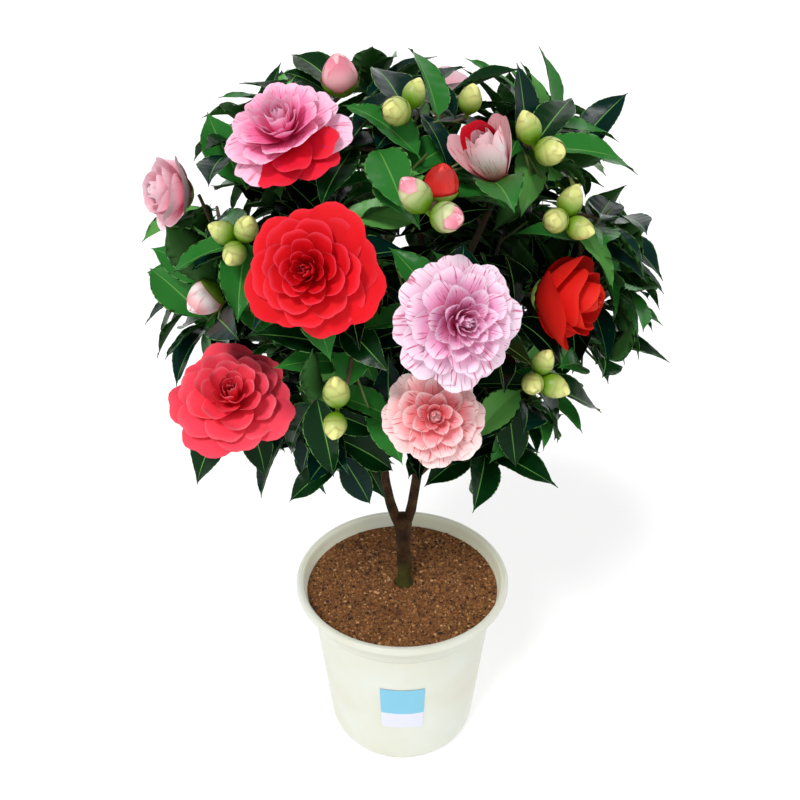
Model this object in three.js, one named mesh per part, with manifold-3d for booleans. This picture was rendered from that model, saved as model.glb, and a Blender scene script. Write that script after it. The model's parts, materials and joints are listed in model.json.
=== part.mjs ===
// A camellia grown as a small standard in a plastic nursery pot: pot, soil, a trunk that forks into two
// limbs, their boughs and, at the tips, masses of leaves, blooms and buds.
// Millimetres, +Z up, origin at the middle of the pot's flat underside. The viewer's side is -Y.
import * as THREE from "three";
import { mergeVertices } from "three/addons/utils/BufferGeometryUtils.js";
import Module from "manifold-3d";

const wasm = await Module();
wasm.setup();

// ---- Driving dimensions ----
const GAP = 0.3; // clear space between pieces that touch
const POT_HEIGHT = 220;
const RIM_RADIUS = 125;
const WALL = 3.2;
const SOIL_TOP = POT_HEIGHT - 15.6;
const FORK_HEIGHT = 92; // the fork above the soil
const TRUNK_RADIUS = 8.2;
const FLARE_RADIUS = 11.8;
const CROWN_CENTRE = [0, 0, 584];
const CROWN_REACH = [248, 205, 210]; // half the crown's width, depth and height
const LEAF_LENGTH = 74;
const LEAF_WIDTH_SHARE = 0.44; // a leaf's width as a share of its length
const LEAF_THICK = 1.3;
const BUD_LENGTH = 26;
const TWIG_RADIUS = 1.9;
const BASE_RADIUS = 78; // the flat under the pot

// ---- Small vector and number helpers ----
const add = (a, b, s = 1) => [a[0] + b[0] * s, a[1] + b[1] * s, a[2] + b[2] * s];
const sub = (a, b) => add(a, b, -1);
const dot = (a, b) => a[0] * b[0] + a[1] * b[1] + a[2] * b[2];
const size = (a) => Math.sqrt(dot(a, a));
const unit = (a) => a.map((x) => x / size(a));
const cross = (a, b) => [
  a[1] * b[2] - a[2] * b[1],
  a[2] * b[0] - a[0] * b[2],
  a[0] * b[1] - a[1] * b[0],
];
const lerp = (a, b, t) => add(a, sub(b, a), t);
const plus = (...vectors) => vectors.reduce((a, b) => add(a, b));
const times = (a, s) => a.map((x) => x * s);
const GOLDEN_ANGLE = Math.PI * (3 - Math.sqrt(5));

// The way a thing faces: azimuth 0 is towards the viewer and 90 towards +X; elevation is above the level.
function facing(azimuth, elevation) {
  const a = (azimuth * Math.PI) / 180;
  const e = (elevation * Math.PI) / 180;
  return [Math.sin(a) * Math.cos(e), -Math.cos(a) * Math.cos(e), Math.sin(e)];
}

// Two unit vectors square to d, the first one as level as it can be.
function sidesOf(d) {
  const across = unit(Math.abs(d[2]) > 0.97 ? cross([0, 1, 0], d) : cross([0, 0, 1], d));
  return [across, cross(d, across)];
}

// A seeded draw from 0 to 1 that depends only on its two whole numbers.
function draw(seed, k) {
  let t = (Math.imul(seed, 2654435761) + Math.imul(k + 1, 1597334677)) >>> 0;
  t = Math.imul(t ^ (t >>> 15), t | 1);
  t ^= t + Math.imul(t ^ (t >>> 7), t | 61);
  return ((t ^ (t >>> 14)) >>> 0) / 4294967296;
}

// ---- Solids ----
function toSolid(geometry) {
  const bare = geometry.clone();
  bare.deleteAttribute("normal");
  bare.deleteAttribute("uv");
  const merged = mergeVertices(bare, 1e-4);
  return new wasm.Manifold(
    new wasm.Mesh({
      numProp: 3,
      vertProperties: new Float32Array(merged.attributes.position.array),
      triVerts: new Uint32Array(merged.index.array),
    }),
  );
}

// The main body of a fused solid: loose scraps and sealed hollows are dropped.
function mainBody(solid) {
  return solid.decompose().reduce((a, b) => (b.volume() > a.volume() ? b : a));
}

function toGeometry(solid) {
  const mesh = solid.getMesh();
  return new THREE.BufferGeometry()
    .setAttribute("position", new THREE.BufferAttribute(new Float32Array(mesh.vertProperties), 3))
    .setIndex(new THREE.BufferAttribute(new Uint32Array(mesh.triVerts), 1));
}

// Moves each vertex of a geometry by a function of its place.
function reshape(geometry, move) {
  const p = geometry.attributes.position;
  for (let i = 0; i < p.count; i++) p.setXYZ(i, ...move(p.getX(i), p.getY(i), p.getZ(i)));
  return geometry;
}

// A closed tube through a row of points, with a radius at each. Its rings all stay turned alike.
function tubeSolid(points, radii, sides) {
  const last = points.length - 1;
  const [level] = sidesOf(unit(sub(points[last], points[0])));
  const rings = points.map((p, i) => {
    const way = unit(sub(points[Math.min(i + 1, last)], points[Math.max(i - 1, 0)]));
    const across = unit(add(level, way, -dot(level, way)));
    return [p, times(across, radii[i]), times(cross(way, across), radii[i])];
  });
  const straight = new THREE.CylinderGeometry(1, 1, last, sides, last);
  return toSolid(
    reshape(straight, (x, y, z) => {
      const [p, u, v] = rings[Math.round(y + last / 2)];
      return plus(p, times(u, z), times(v, x));
    }),
  );
}

// ---- Limbs: cubic curves with a radius at each end ----
function pointOn(limb, t) {
  let row = limb.points;
  while (row.length > 1) row = row.slice(1).map((p, i) => lerp(row[i], p, t));
  return row[0];
}

function alongLimb(limb, t) {
  return unit(sub(pointOn(limb, Math.min(1, t + 0.01)), pointOn(limb, Math.max(0, t - 0.01))));
}

// The radius of a limb that tapers evenly, at a share t of its length.
const taper = (from, to) => (t) => from + (to - from) * t;

// A limb's solid. spare widens it and draws out its tip, to cut a neighbour clear of it.
function limbSolid(limb, spare = 0, sides = 6, steps = 5) {
  const shares = Array.from({ length: steps + 1 }, (_, i) => i / steps);
  const points = shares.map((t) => pointOn(limb, t));
  points[steps] = add(points[steps], alongLimb(limb, 1), spare);
  return tubeSolid(points, shares.map((t) => limb.radiusAt(t) + spare), sides);
}

// The smallest distance from p to a limb's bark, by stations along its curve.
const STATIONS = 14;
function clearOfLimb(limb, p) {
  let least = Infinity;
  for (let i = 0; i <= STATIONS; i++) {
    const d = size(sub(p, limb.stations[i])) - limb.radiusAt(i / STATIONS);
    if (d < least) least = d;
  }
  return least;
}

function makeLimb(name, points, radiusAt) {
  const limb = { name, points, radiusAt };
  limb.stations = Array.from({ length: STATIONS + 1 }, (_, i) => pointOn(limb, i / STATIONS));
  return limb;
}

// The root flare fades over the lowest fifth, and the trunk widens again below its fork.
const trunkRadius = (t) =>
  TRUNK_RADIUS + (FLARE_RADIUS - TRUNK_RADIUS) * Math.max(0, 1 - t * 5) ** 2 + 2.2 * t ** 4;
const ground = SOIL_TOP + GAP;
const fork = [0, 0, SOIL_TOP + FORK_HEIGHT];
const trunkWay = [[2, 0, ground - 4], [3, 0, ground + 28], [1, 0, ground + 60], fork];
const trunk = makeLimb("trunk", trunkWay, trunkRadius);

const leftWay = [add(fork, [-4.5, 0, -6]), [-28, -4, 352], [-22, 2, 440], [-56, -12, 560]];
const rightWay = [add(fork, [4.5, 0, -6]), [24, 4, 350], [12, 2, 440], [52, 14, 566]];
const limbs = {
  left: makeLimb("limb_left", leftWay, taper(5.9, 4.4)),
  right: makeLimb("limb_right", rightWay, taper(5.9, 4.4)),
};

// ---- The masses: three tiers of sites round the crown ----
// Each tier has its height and its sites' distance from the axis, as shares of the crown's reach.
const TIERS = [
  { height: 0.6, out: 0.42, turn: 0, names: ["upper_front", "upper_right", "upper_back", "upper_left"] },
  {
    height: 0.02,
    out: 0.62,
    turn: 0,
    names: ["middle_front", "middle_right", "middle_back_right", "middle_back_left", "middle_left"],
  },
  {
    height: -0.54,
    out: 0.48,
    turn: 45,
    names: ["lower_front_right", "lower_back_right", "lower_back_left", "lower_front_left"],
  },
];

function onCrown(direction, share) {
  return CROWN_CENTRE.map((c, i) => c + direction[i] * CROWN_REACH[i] * share);
}

const masses = TIERS.flatMap((tier) =>
  tier.names.map((name, i) => {
    const level = facing(tier.turn + (360 * i) / tier.names.length, 0);
    const direction = [level[0] * tier.out, level[1] * tier.out, tier.height];
    return { name, site: onCrown(direction, 1) };
  }),
);

// Where each mass's bough leaves its limb, as a share of the limb's length. The limbs themselves end
// in the upper masses to the left and right.
const BOUGH_STARTS = {
  lower_front_right: ["right", 0.3],
  lower_back_right: ["right", 0.38],
  lower_back_left: ["left", 0.38],
  lower_front_left: ["left", 0.3],
  middle_front: ["right", 0.5],
  middle_right: ["right", 0.58],
  middle_back_right: ["right", 0.68],
  middle_back_left: ["left", 0.66],
  middle_left: ["left", 0.54],
  upper_front: ["left", 0.8],
  upper_back: ["right", 0.84],
};
const BOUGH_SHARE = 0.62; // how far a bough runs towards its mass's site
const boughs = [];
for (const mass of masses) {
  const start = BOUGH_STARTS[mass.name];
  if (!start) {
    mass.bough = mass.name === "upper_left" ? limbs.left : limbs.right;
    continue;
  }
  const limb = limbs[start[0]];
  const foot = pointOn(limb, start[1]);
  const tip = lerp(foot, mass.site, BOUGH_SHARE);
  const span = size(sub(tip, foot));
  const rising = add(lerp(foot, tip, 0.35), [0, 0, 1], 0.08 * span);
  const bending = add(lerp(foot, tip, 0.7), [0, 0, 1], -0.06 * span);
  mass.bough = makeLimb(`bough_${mass.name}`, [foot, rising, bending, tip], taper(4.2, 3));
  mass.bough.limb = limb;
  boughs.push(mass.bough);
}
const woody = [trunk, limbs.left, limbs.right, ...boughs];

// ---- Blooms and buds ----
// x, y, z of the middle of the face, the way it faces, how wide it is across, and how far open.
const OPEN = 1;
const HALF_OPEN = 0.5;
const BREAKING = 0.2; // a bud that shows its petals
const BLOOMS = [
  { at: [-66, -188, 649], faces: [-10, 20], across: 106, open: OPEN, colour: "crimson" },
  { at: [40, -196, 614], faces: [18, 16], across: 103, open: OPEN, colour: "lilac" },
  { at: [25, -170, 522], faces: [2, 30], across: 90, open: OPEN, colour: "salmon" },
  { at: [-90, -104, 729], faces: [-14, 50], across: 104, open: OPEN, colour: "rose" },
  { at: [-146, -128, 517], faces: [12, 54], across: 116, open: OPEN, colour: "coral" },
  { at: [118, -98, 598], faces: [62, 4], across: 90, open: OPEN, colour: "scarlet" },
  { at: [-188, -48, 673], faces: [-54, 12], across: 78, open: OPEN, colour: "blush" },
  { at: [56, -114, 733], faces: [-46, 56], across: 58, open: HALF_OPEN, colour: "striped" },
  { at: [-52, -44, 772], faces: [-10, 66], across: 27, open: BREAKING, colour: "rose" },
  { at: [-178, -82, 586], faces: [-46, -22], across: 27, open: BREAKING, colour: "striped" },
  { at: [28, -142, 706], faces: [10, 64], across: 24, open: BREAKING, colour: "scarlet" },
  { at: [92, 166, 636], faces: [150, 14], across: 92, open: OPEN, colour: "crimson" },
  { at: [-96, 164, 606], faces: [-150, 10], across: 88, open: OPEN, colour: "lilac" },
  { at: [34, 180, 524], faces: [180, 0], across: 84, open: OPEN, colour: "salmon" },
  { at: [172, 92, 506], faces: [116, 2], across: 86, open: OPEN, colour: "coral" },
  { at: [-200, 72, 556], faces: [-112, 6], across: 84, open: OPEN, colour: "crimson" },
  { at: [40, 128, 724], faces: [162, 38], across: 84, open: OPEN, colour: "blush" },
];

// x, y, z of the twig's end, the way it points and the number of closed buds on it.
const BUD_TWIGS = [
  { at: [2, -92, 742], faces: [-6, 60], buds: 2 },
  { at: [50, -66, 736], faces: [14, 58], buds: 1 },
  { at: [102, -94, 716], faces: [10, 52], buds: 2 },
  { at: [18, -178, 686], faces: [4, 44], buds: 2 },
  { at: [126, -102, 662], faces: [24, 34], buds: 3 },
  { at: [-127, -118, 650], faces: [-26, 30], buds: 3 },
  { at: [111, -126, 536], faces: [34, 22], buds: 3 },
  { at: [-52, -176, 532], faces: [-4, 26], buds: 2 },
  { at: [66, 158, 566], faces: [158, 16], buds: 2 },
  { at: [-150, 112, 672], faces: [-128, 34], buds: 3 },
  { at: [-24, 182, 652], faces: [176, 24], buds: 2 },
  { at: [156, 96, 654], faces: [122, 30], buds: 3 },
  { at: [-84, 148, 480], faces: [-150, -8], buds: 2 },
];

// Leafy shoots that stand out of the crown's outline: x, y, z of the twig's end and the way it points.
const LONG_SHOOTS = [
  { at: [34, 8, 738], faces: [-30, 74] },
  { at: [146, -14, 694], faces: [62, 30] },
  { at: [190, -6, 606], faces: [84, -4] },
  { at: [172, -34, 528], faces: [72, -34] },
  { at: [-194, -22, 574], faces: [-84, -4] },
  { at: [-128, 4, 706], faces: [-58, 42] },
  { at: [76, -104, 446], faces: [26, -52] },
  { at: [-56, -108, 444], faces: [-16, -54] },
  { at: [-112, -60, 446], faces: [-60, -40] },
  { at: [-8, 96, 736], faces: [170, 58] },
  { at: [60, 110, 446], faces: [150, -50] },
  { at: [-40, 176, 560], faces: [178, 6] },
];

// ---- The growing rule ----
const SHELL_SHOOTS = 92; // spread evenly over the crown, before those that stand too close are left out
const SHELL_SHARE = 0.76;
const INNER_SHOOTS = 26;
const INNER_SHARE = 0.46;
const SHOOT_SPACING = 30;
const NAMED_SPACING = 46; // round the blooms, buds and long shoots
const LEAF_TRIES = 5;
const LEAF_STEP = 6.5; // between the feet of two leaves along their twig
const SOLID_LEAVES = 3; // leaves modelled on each shoot, of those that the plant bears
const CELL_MARGIN = 1.2;
const BLOOM_DEPTH = 0.3; // a bloom's height as a share of its width
const BEHIND_BLOOM = 14; // from a bloom's face back to where its leaves spring

// How far p lies inside the space of a mass: half the difference of its distances to two sites is the
// distance to the wall between them, or close to it.
function depthInCell(mass, p) {
  let least = Infinity;
  for (const other of masses) {
    if (other === mass) continue;
    const between = sub(other.site, mass.site);
    const wall = dot(sub(lerp(mass.site, other.site, 0.5), p), between) / size(between);
    if (wall < least) least = wall;
  }
  return least;
}

const massOf = (p) => masses.reduce((a, b) => (size(sub(p, b.site)) < size(sub(p, a.site)) ? b : a));

// True if p lies in the short round space that a bloom fills, with spare room all round.
function inBloom(bloom, p, spare) {
  const d = sub(p, bloom.at);
  const height = dot(d, bloom.axis);
  const out = size(add(d, bloom.axis, -height));
  const reach = bloom.across / 2 + spare;
  const front = bloom.open === OPEN ? 0.34 * bloom.across : bloom.across;
  return out < reach && height > -0.14 * bloom.across - spare && height < front;
}

function makeShoots() {
  const shoots = [];
  for (const b of BLOOMS) {
    b.axis = facing(...b.faces);
    const back = b.open === OPEN ? BEHIND_BLOOM : b.across * 0.9;
    const spread = b.open === OPEN ? 88 : 62;
    shoots.push({ at: add(b.at, b.axis, -back), axis: b.axis, bloom: b, spread });
  }
  for (const b of BUD_TWIGS) {
    shoots.push({ at: b.at, axis: facing(...b.faces), buds: b.buds, spread: 70 });
  }
  for (const s of LONG_SHOOTS) shoots.push({ at: s.at, axis: facing(...s.faces), spread: 46, long: true });
  const named = shoots.length;
  for (const [count, share] of [[SHELL_SHOOTS, SHELL_SHARE], [INNER_SHOOTS, INNER_SHARE]]) {
    for (let i = 0; i < count; i++) {
      const seed = 1000 * share + i;
      const z = 1 - (2 * i + 1) / count;
      const turn = GOLDEN_ANGLE * i;
      const ring = Math.sqrt(1 - z * z);
      const direction = [ring * Math.cos(turn), ring * Math.sin(turn), z];
      const at = onCrown(direction, share + 0.1 * (draw(seed, 0) - 0.5));
      const spacing = (k) => (k < named ? NAMED_SPACING : SHOOT_SPACING);
      if (shoots.some((s, k) => size(sub(s.at, at)) < spacing(k))) continue;
      if (BLOOMS.some((b) => inBloom(b, at, 8))) continue;
      const axis = unit(add(direction, [0, 0, 0.35]));
      shoots.push({ at, axis, spread: 58 });
    }
  }
  shoots.forEach((s, i) => {
    s.seed = i + 1;
    s.mass = massOf(s.at);
  });
  return shoots;
}

function touchesWood(p, spare) {
  return woody.some((limb) => clearOfLimb(limb, p) < spare);
}

// Joins a mass's shoots to its stem: each one springs from the nearest point of the twigs that are there.
function growTwigs(mass, shoots) {
  const bough = mass.bough;
  const end = bough.points[3];
  const foot = add(end, alongLimb(bough, 1), GAP);
  const bend = add(foot, alongLimb(bough, 1), 12);
  mass.stem = { points: [foot, bend, mass.site], thick: 0.92 * bough.radiusAt(1), thin: TWIG_RADIUS * 1.2 };
  mass.nodes = [
    { at: lerp(bend, mass.site, 0.4), run: 0 },
    { at: mass.site, run: 20 },
  ];
  mass.twigs = [];
  const mine = shoots
    .filter((s) => s.mass === mass && depthInCell(mass, s.at) > 2.5)
    .sort((a, b) => size(sub(a.at, mass.site)) - size(sub(b.at, mass.site)));
  for (const s of mine) {
    const parent = mass.nodes.reduce((a, b) =>
      size(sub(s.at, b.at)) + 0.3 * b.run < size(sub(s.at, a.at)) + 0.3 * a.run ? b : a,
    );
    const span = size(sub(s.at, parent.at));
    if (span < 12) continue;
    const [u, v] = sidesOf(unit(sub(s.at, parent.at)));
    const bow = 0.07 * span;
    let bend = add(lerp(parent.at, s.at, 0.5), u, bow * (2 * draw(s.seed, 11) - 1));
    bend = add(bend, v, bow * (2 * draw(s.seed, 12) - 1));
    const checks = [bend, lerp(bend, s.at, 0.5), lerp(parent.at, bend, 0.7), s.at];
    if (checks.some((p) => touchesWood(p, 4) || depthInCell(mass, p) < 2.5)) continue;
    if (BLOOMS.some((b) => b !== s.bloom && checks.some((p) => inBloom(b, p, 3)))) continue;
    mass.twigs.push({ from: parent.at, bend, to: s.at, shoot: s });
    s.back = unit(sub(bend, s.at));
    mass.nodes.push({ at: bend, run: parent.run + span / 2 }, { at: s.at, run: parent.run + span });
    s.grown = true;
  }
}

// The k-th leaf of a shoot: its foot on the twig, the way it runs, its upper side and its length.
// Where it would leave its mass's space, or touch a limb or a bloom, it is turned, and at last left out.
function leafOf(shoot, k) {
  const [u, v] = sidesOf(shoot.axis);
  const foot = add(shoot.at, shoot.back, 1 + LEAF_STEP * k);
  const length = LEAF_LENGTH * (0.84 + 0.3 * draw(shoot.seed, 20 + k));
  for (let attempt = 0; attempt < LEAF_TRIES; attempt++) {
    const turn = GOLDEN_ANGLE * k + 6.283 * draw(shoot.seed, 1) + 0.7 * attempt;
    const spread = shoot.spread + 5 * (k + attempt) + 18 * (draw(shoot.seed, 40 + k) - 0.5);
    const tilt = (spread * Math.PI) / 180;
    const level = plus(times(u, Math.cos(turn)), times(v, Math.sin(turn)));
    const along = unit(plus(times(shoot.axis, Math.cos(tilt)), times(level, Math.sin(tilt))));
    const up = add([0, 0, 0.8], shoot.axis, 0.5);
    const upper = unit(add(up, along, -dot(up, along)));
    const leaf = { foot, along, upper, length };
    const [, left, right, tip] = leafCorners(leaf);
    const checks = [left, right, tip, lerp(foot, tip, 0.5), lerp(left, tip, 0.5), lerp(right, tip, 0.5)];
    if (checks.some((p) => depthInCell(shoot.mass, p) < CELL_MARGIN || touchesWood(p, 2))) continue;
    if (BLOOMS.some((b) => checks.some((p) => inBloom(b, p, 3)))) continue;
    return leaf;
  }
  return null;
}

// Foot, left edge, right edge, tip and the ridge over the midrib. The blade rises to its widest place,
// and its tip hangs.
function leafCorners({ foot, along, upper, length }) {
  const side = times(cross(upper, along), (length * LEAF_WIDTH_SHARE) / 2);
  const widest = plus(foot, times(along, 0.44 * length), times(upper, 0.06 * length));
  return [
    add(foot, along, -1.2),
    plus(widest, side),
    sub(widest, side),
    plus(foot, times(along, length), times(upper, -0.1 * length)),
    add(widest, upper, LEAF_THICK),
  ];
}

// A leaf has two faces under it and four that meet at its ridge.
const LEAF_FACES = [0, 2, 4, 2, 3, 4, 3, 1, 4, 1, 0, 4, 0, 1, 2, 1, 3, 2];
function leafSolid(leaf) {
  const corners = leafCorners(leaf).map((p) => new THREE.Vector3(...p));
  return toSolid(new THREE.BufferGeometry().setFromPoints(corners).setIndex(LEAF_FACES));
}

// A tapering twig through a row of points.
function twigSolid(points, thick, thin, sides = 3) {
  const radii = points.map((_, i) => thick + ((thin - thick) * i) / (points.length - 1));
  return tubeSolid(points, radii, sides);
}

// Turns a lathed form, whose axis is +Y, to stand at a place and face a way.
function stand(geometry, at, axis) {
  const [u, v] = sidesOf(axis);
  return reshape(geometry, (x, y, z) => plus(at, times(axis, y), times(u, z), times(v, x)));
}

// An open bloom: a scalloped dish of petals round a raised heart, on a short cone of sepals.
function openBloomSolid(bloom) {
  const r = bloom.across / 2;
  const h = bloom.across * BLOOM_DEPTH;
  const profile = [
    [0, -0.62 * h],
    [0.2 * r, -0.56 * h],
    [r, 0],
    [0.66 * r, 0.38 * h],
    [0, 0.56 * h],
  ].map(([x, y]) => new THREE.Vector2(x, y));
  const petals = 6;
  const shape = reshape(new THREE.LatheGeometry(profile, 2 * petals), (x, y, z) => {
    const scallop = 1 + 0.05 * Math.cos(petals * Math.atan2(x, z));
    return [x * scallop, y, z * scallop];
  });
  return toSolid(stand(shape, bloom.at, bloom.axis));
}

// A bud, egg-shaped with a point, from its foot. A breaking or half-open one has a blunt, wider mouth.
function budSolid(foot, axis, length, across, mouth, sides = 5) {
  const r = across / 2;
  const profile = [
    [0, -2],
    [0.5 * r, 0.04 * length],
    [r, 0.4 * length],
    [Math.max(0.62 * r, mouth * r), 0.78 * length],
    [0, (1 - 0.12 * mouth) * length],
  ].map(([x, y]) => new THREE.Vector2(x, y));
  return toSolid(stand(new THREE.LatheGeometry(profile, sides), foot, axis));
}

// The closed buds of a twig stand round its end and lean away from each other.
function budsOf(shoot) {
  const [u, v] = sidesOf(shoot.axis);
  return Array.from({ length: shoot.buds }, (_, i) => {
    const turn = (2 * Math.PI * i) / shoot.buds + 6.283 * draw(shoot.seed, 2);
    const lean = shoot.buds === 1 ? 0.1 : 0.75;
    const level = plus(times(u, Math.cos(turn)), times(v, Math.sin(turn)));
    const axis = unit(add(shoot.axis, level, lean));
    const length = BUD_LENGTH * (0.88 + 0.24 * draw(shoot.seed, 60 + i));
    return { foot: add(shoot.at, axis, 2), axis, length };
  });
}

// The leaves of a mass that are modelled: one that would cut through wood or another leaf is left out.
function solidLeaves(mass) {
  const leaves = [];
  for (const { shoot } of mass.twigs) {
    for (let k = 0; k < SOLID_LEAVES + (shoot.long ? 1 : 0); k++) {
      const leaf = leafOf(shoot, k);
      if (!leaf) continue;
      const solid = leafSolid(leaf);
      if (![...woodRooms, ...leaves].some((other) => meets(solid, other))) leaves.push(solid);
    }
  }
  return leaves;
}

function meets(a, b) {
  const [p, q] = [a.boundingBox(), b.boundingBox()];
  const apart = p.min.some((low, i) => low > q.max[i] || q.min[i] > p.max[i]);
  return !apart && !a.intersect(b).isEmpty();
}

const woodRooms = woody.map((limb) => limbSolid(limb, 2 * GAP, 8, 8));

function bloomSolid(shoot) {
  const { open, across, axis } = shoot.bloom;
  if (open === OPEN) return openBloomSolid(shoot.bloom);
  if (open === HALF_OPEN) return budSolid(shoot.at, axis, 0.95 * across, across, 1.05, 8);
  return budSolid(shoot.at, axis, 1.4 * across, across, 0.7, 6);
}

function massSolid(mass) {
  const { points, thick, thin } = mass.stem;
  const pieces = [twigSolid(points, thick, thin, 6), ...solidLeaves(mass)];
  for (const { from: foot, bend, to: end, shoot } of mass.twigs) {
    pieces.push(twigSolid([foot, bend, end], TWIG_RADIUS * 1.15, TWIG_RADIUS * 0.8));
    if (shoot.bloom) pieces.push(bloomSolid(shoot));
    if (!shoot.buds) continue;
    for (const b of budsOf(shoot)) pieces.push(budSolid(b.foot, b.axis, b.length, 0.72 * b.length, 0));
  }
  return mainBody(wasm.Manifold.union(pieces));
}

// ---- Pot and soil ----
// Outer wall from the flat underside to the rolled lip, as radius and height.
const POT_OUTER = [
  [BASE_RADIUS, 0],
  [84, 2.5],
  [88.5, 8],
  [91, 18],
  [RIM_RADIUS - 17.5, POT_HEIGHT - 35],
  [RIM_RADIUS - 15, POT_HEIGHT - 33],
  [RIM_RADIUS - 13, POT_HEIGHT - 24],
  [RIM_RADIUS - 8, POT_HEIGHT - 12],
  [RIM_RADIUS - 3, POT_HEIGHT - 11],
  [RIM_RADIUS, POT_HEIGHT - 8],
  [RIM_RADIUS, POT_HEIGHT - 3.5],
  [RIM_RADIUS - 3, POT_HEIGHT],
  [RIM_RADIUS - 6, POT_HEIGHT - 0.8],
];
const POT_INNER = [
  [RIM_RADIUS - 9.5, POT_HEIGHT - 8],
  [RIM_RADIUS - 11.5, SOIL_TOP - 1.2],
  [RIM_RADIUS - 16.5, POT_HEIGHT - 25],
  [RIM_RADIUS - 17.5 - WALL, POT_HEIGHT - 36],
  [91 - WALL, 18],
  [80, 3.5],
];
const toVectors = (rows) => rows.map(([x, y]) => new THREE.Vector2(x, y));
const lathe = (rows, sides) =>
  new THREE.LatheGeometry(toVectors(rows), sides).rotateX(Math.PI / 2);

const POT_SIDES = 32;
const NOTCHES = 6;
function potSolid() {
  let pot = toSolid(lathe([[0, 0], ...POT_OUTER, ...POT_INNER, [0, 3.5]], POT_SIDES));
  for (let i = 0; i < NOTCHES; i++) {
    const cutter = new THREE.CylinderGeometry(9, 9, 26, 10)
      .rotateZ(Math.PI / 2)
      .translate(BASE_RADIUS + 19, 0, -3.5)
      .rotateZ((2 * Math.PI * (i + 0.24)) / NOTCHES);
    pot = pot.subtract(toSolid(cutter));
  }
  return pot;
}

// The soil lies uneven between the trunk's foot and the wall, where it is a shade lower.
function soilLie(x, y) {
  const share = (Math.hypot(x, y) / (RIM_RADIUS - 12)) ** 2;
  const waves = 1 + 0.8 * Math.sin(x / 17 + 1) * Math.cos(y / 21);
  return SOIL_TOP - 1.2 * share - 3.2 * share * (1 - share) * waves;
}

// The soil fills the pot to a finger below its rim, GAP clear of the wall, with a flat middle for the trunk.
function soilSolid() {
  const wall = POT_INNER.slice(1).map(([r, z]) => [r - 2 * GAP, z]);
  wall[wall.length - 1][1] += GAP;
  const bed = [80, 48, 18, 0].map((r) => [r, SOIL_TOP]);
  const rows = [[0, 3.5 + GAP], ...wall.reverse(), ...bed];
  return toSolid(reshape(lathe(rows, POT_SIDES), (x, y, z) => [x, y, z < SOIL_TOP ? z : soilLie(x, y)]));
}

// ---- Assembly ----
const shoots = makeShoots();
for (const mass of masses) growTwigs(mass, shoots);

const camellia = new THREE.Group();
camellia.name = "camellia";

function place(name, solid, [red, green, blue], roughness) {
  const material = new THREE.MeshStandardMaterial({ roughness, metalness: 0 });
  material.color.setRGB(red, green, blue, THREE.SRGBColorSpace);
  const mesh = new THREE.Mesh(toGeometry(solid), material);
  mesh.name = name;
  camellia.add(mesh);
}

const IVORY = [0.93, 0.93, 0.88];
const SOIL_BROWN = [0.42, 0.27, 0.16];
const BARK = [0.3, 0.2, 0.14];
const LEAF_GREEN = [0.1, 0.33, 0.12];

place("pot", potSolid(), IVORY, 0.45);
place("soil", soilSolid(), SOIL_BROWN, 0.95);
place("trunk", limbSolid(trunk, 0, 10, 10).trimByPlane([0, 0, 1], ground), BARK, 0.85);
const trunkRoom = limbSolid(trunk, GAP, 10, 10);
const halfRoom = (sign) =>
  toSolid(new THREE.BoxGeometry(200, 200, 900).translate(-sign * (100 - GAP / 2), 0, 600));
for (const [limb, sign] of [[limbs.left, -1], [limbs.right, 1]]) {
  const cut = limbSolid(limb, 0, 8, 8).subtract(trunkRoom).subtract(halfRoom(sign));
  place(limb.name, mainBody(cut), BARK, 0.85);
}
for (const bough of boughs) {
  const cut = limbSolid(bough).subtract(limbSolid(bough.limb, GAP, 8, 8));
  place(bough.name, mainBody(cut), BARK, 0.85);
}
for (const mass of masses) place(`mass_${mass.name}`, massSolid(mass), LEAF_GREEN, 0.4);

export default camellia;
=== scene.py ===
"""The looks of a camellia grown as a small standard in its pot.

The plant is grown again here by the part's own rule, in millimetres, and carried on to finer twigs with more
leaves. Each mass of the CAD model is replaced by its leaves, twigs, blooms and buds, the limbs by a mesh with
bark, and the pot and soil by finer ones. Meshes are made in metres.
"""
import json
import math
from dataclasses import dataclass

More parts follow.
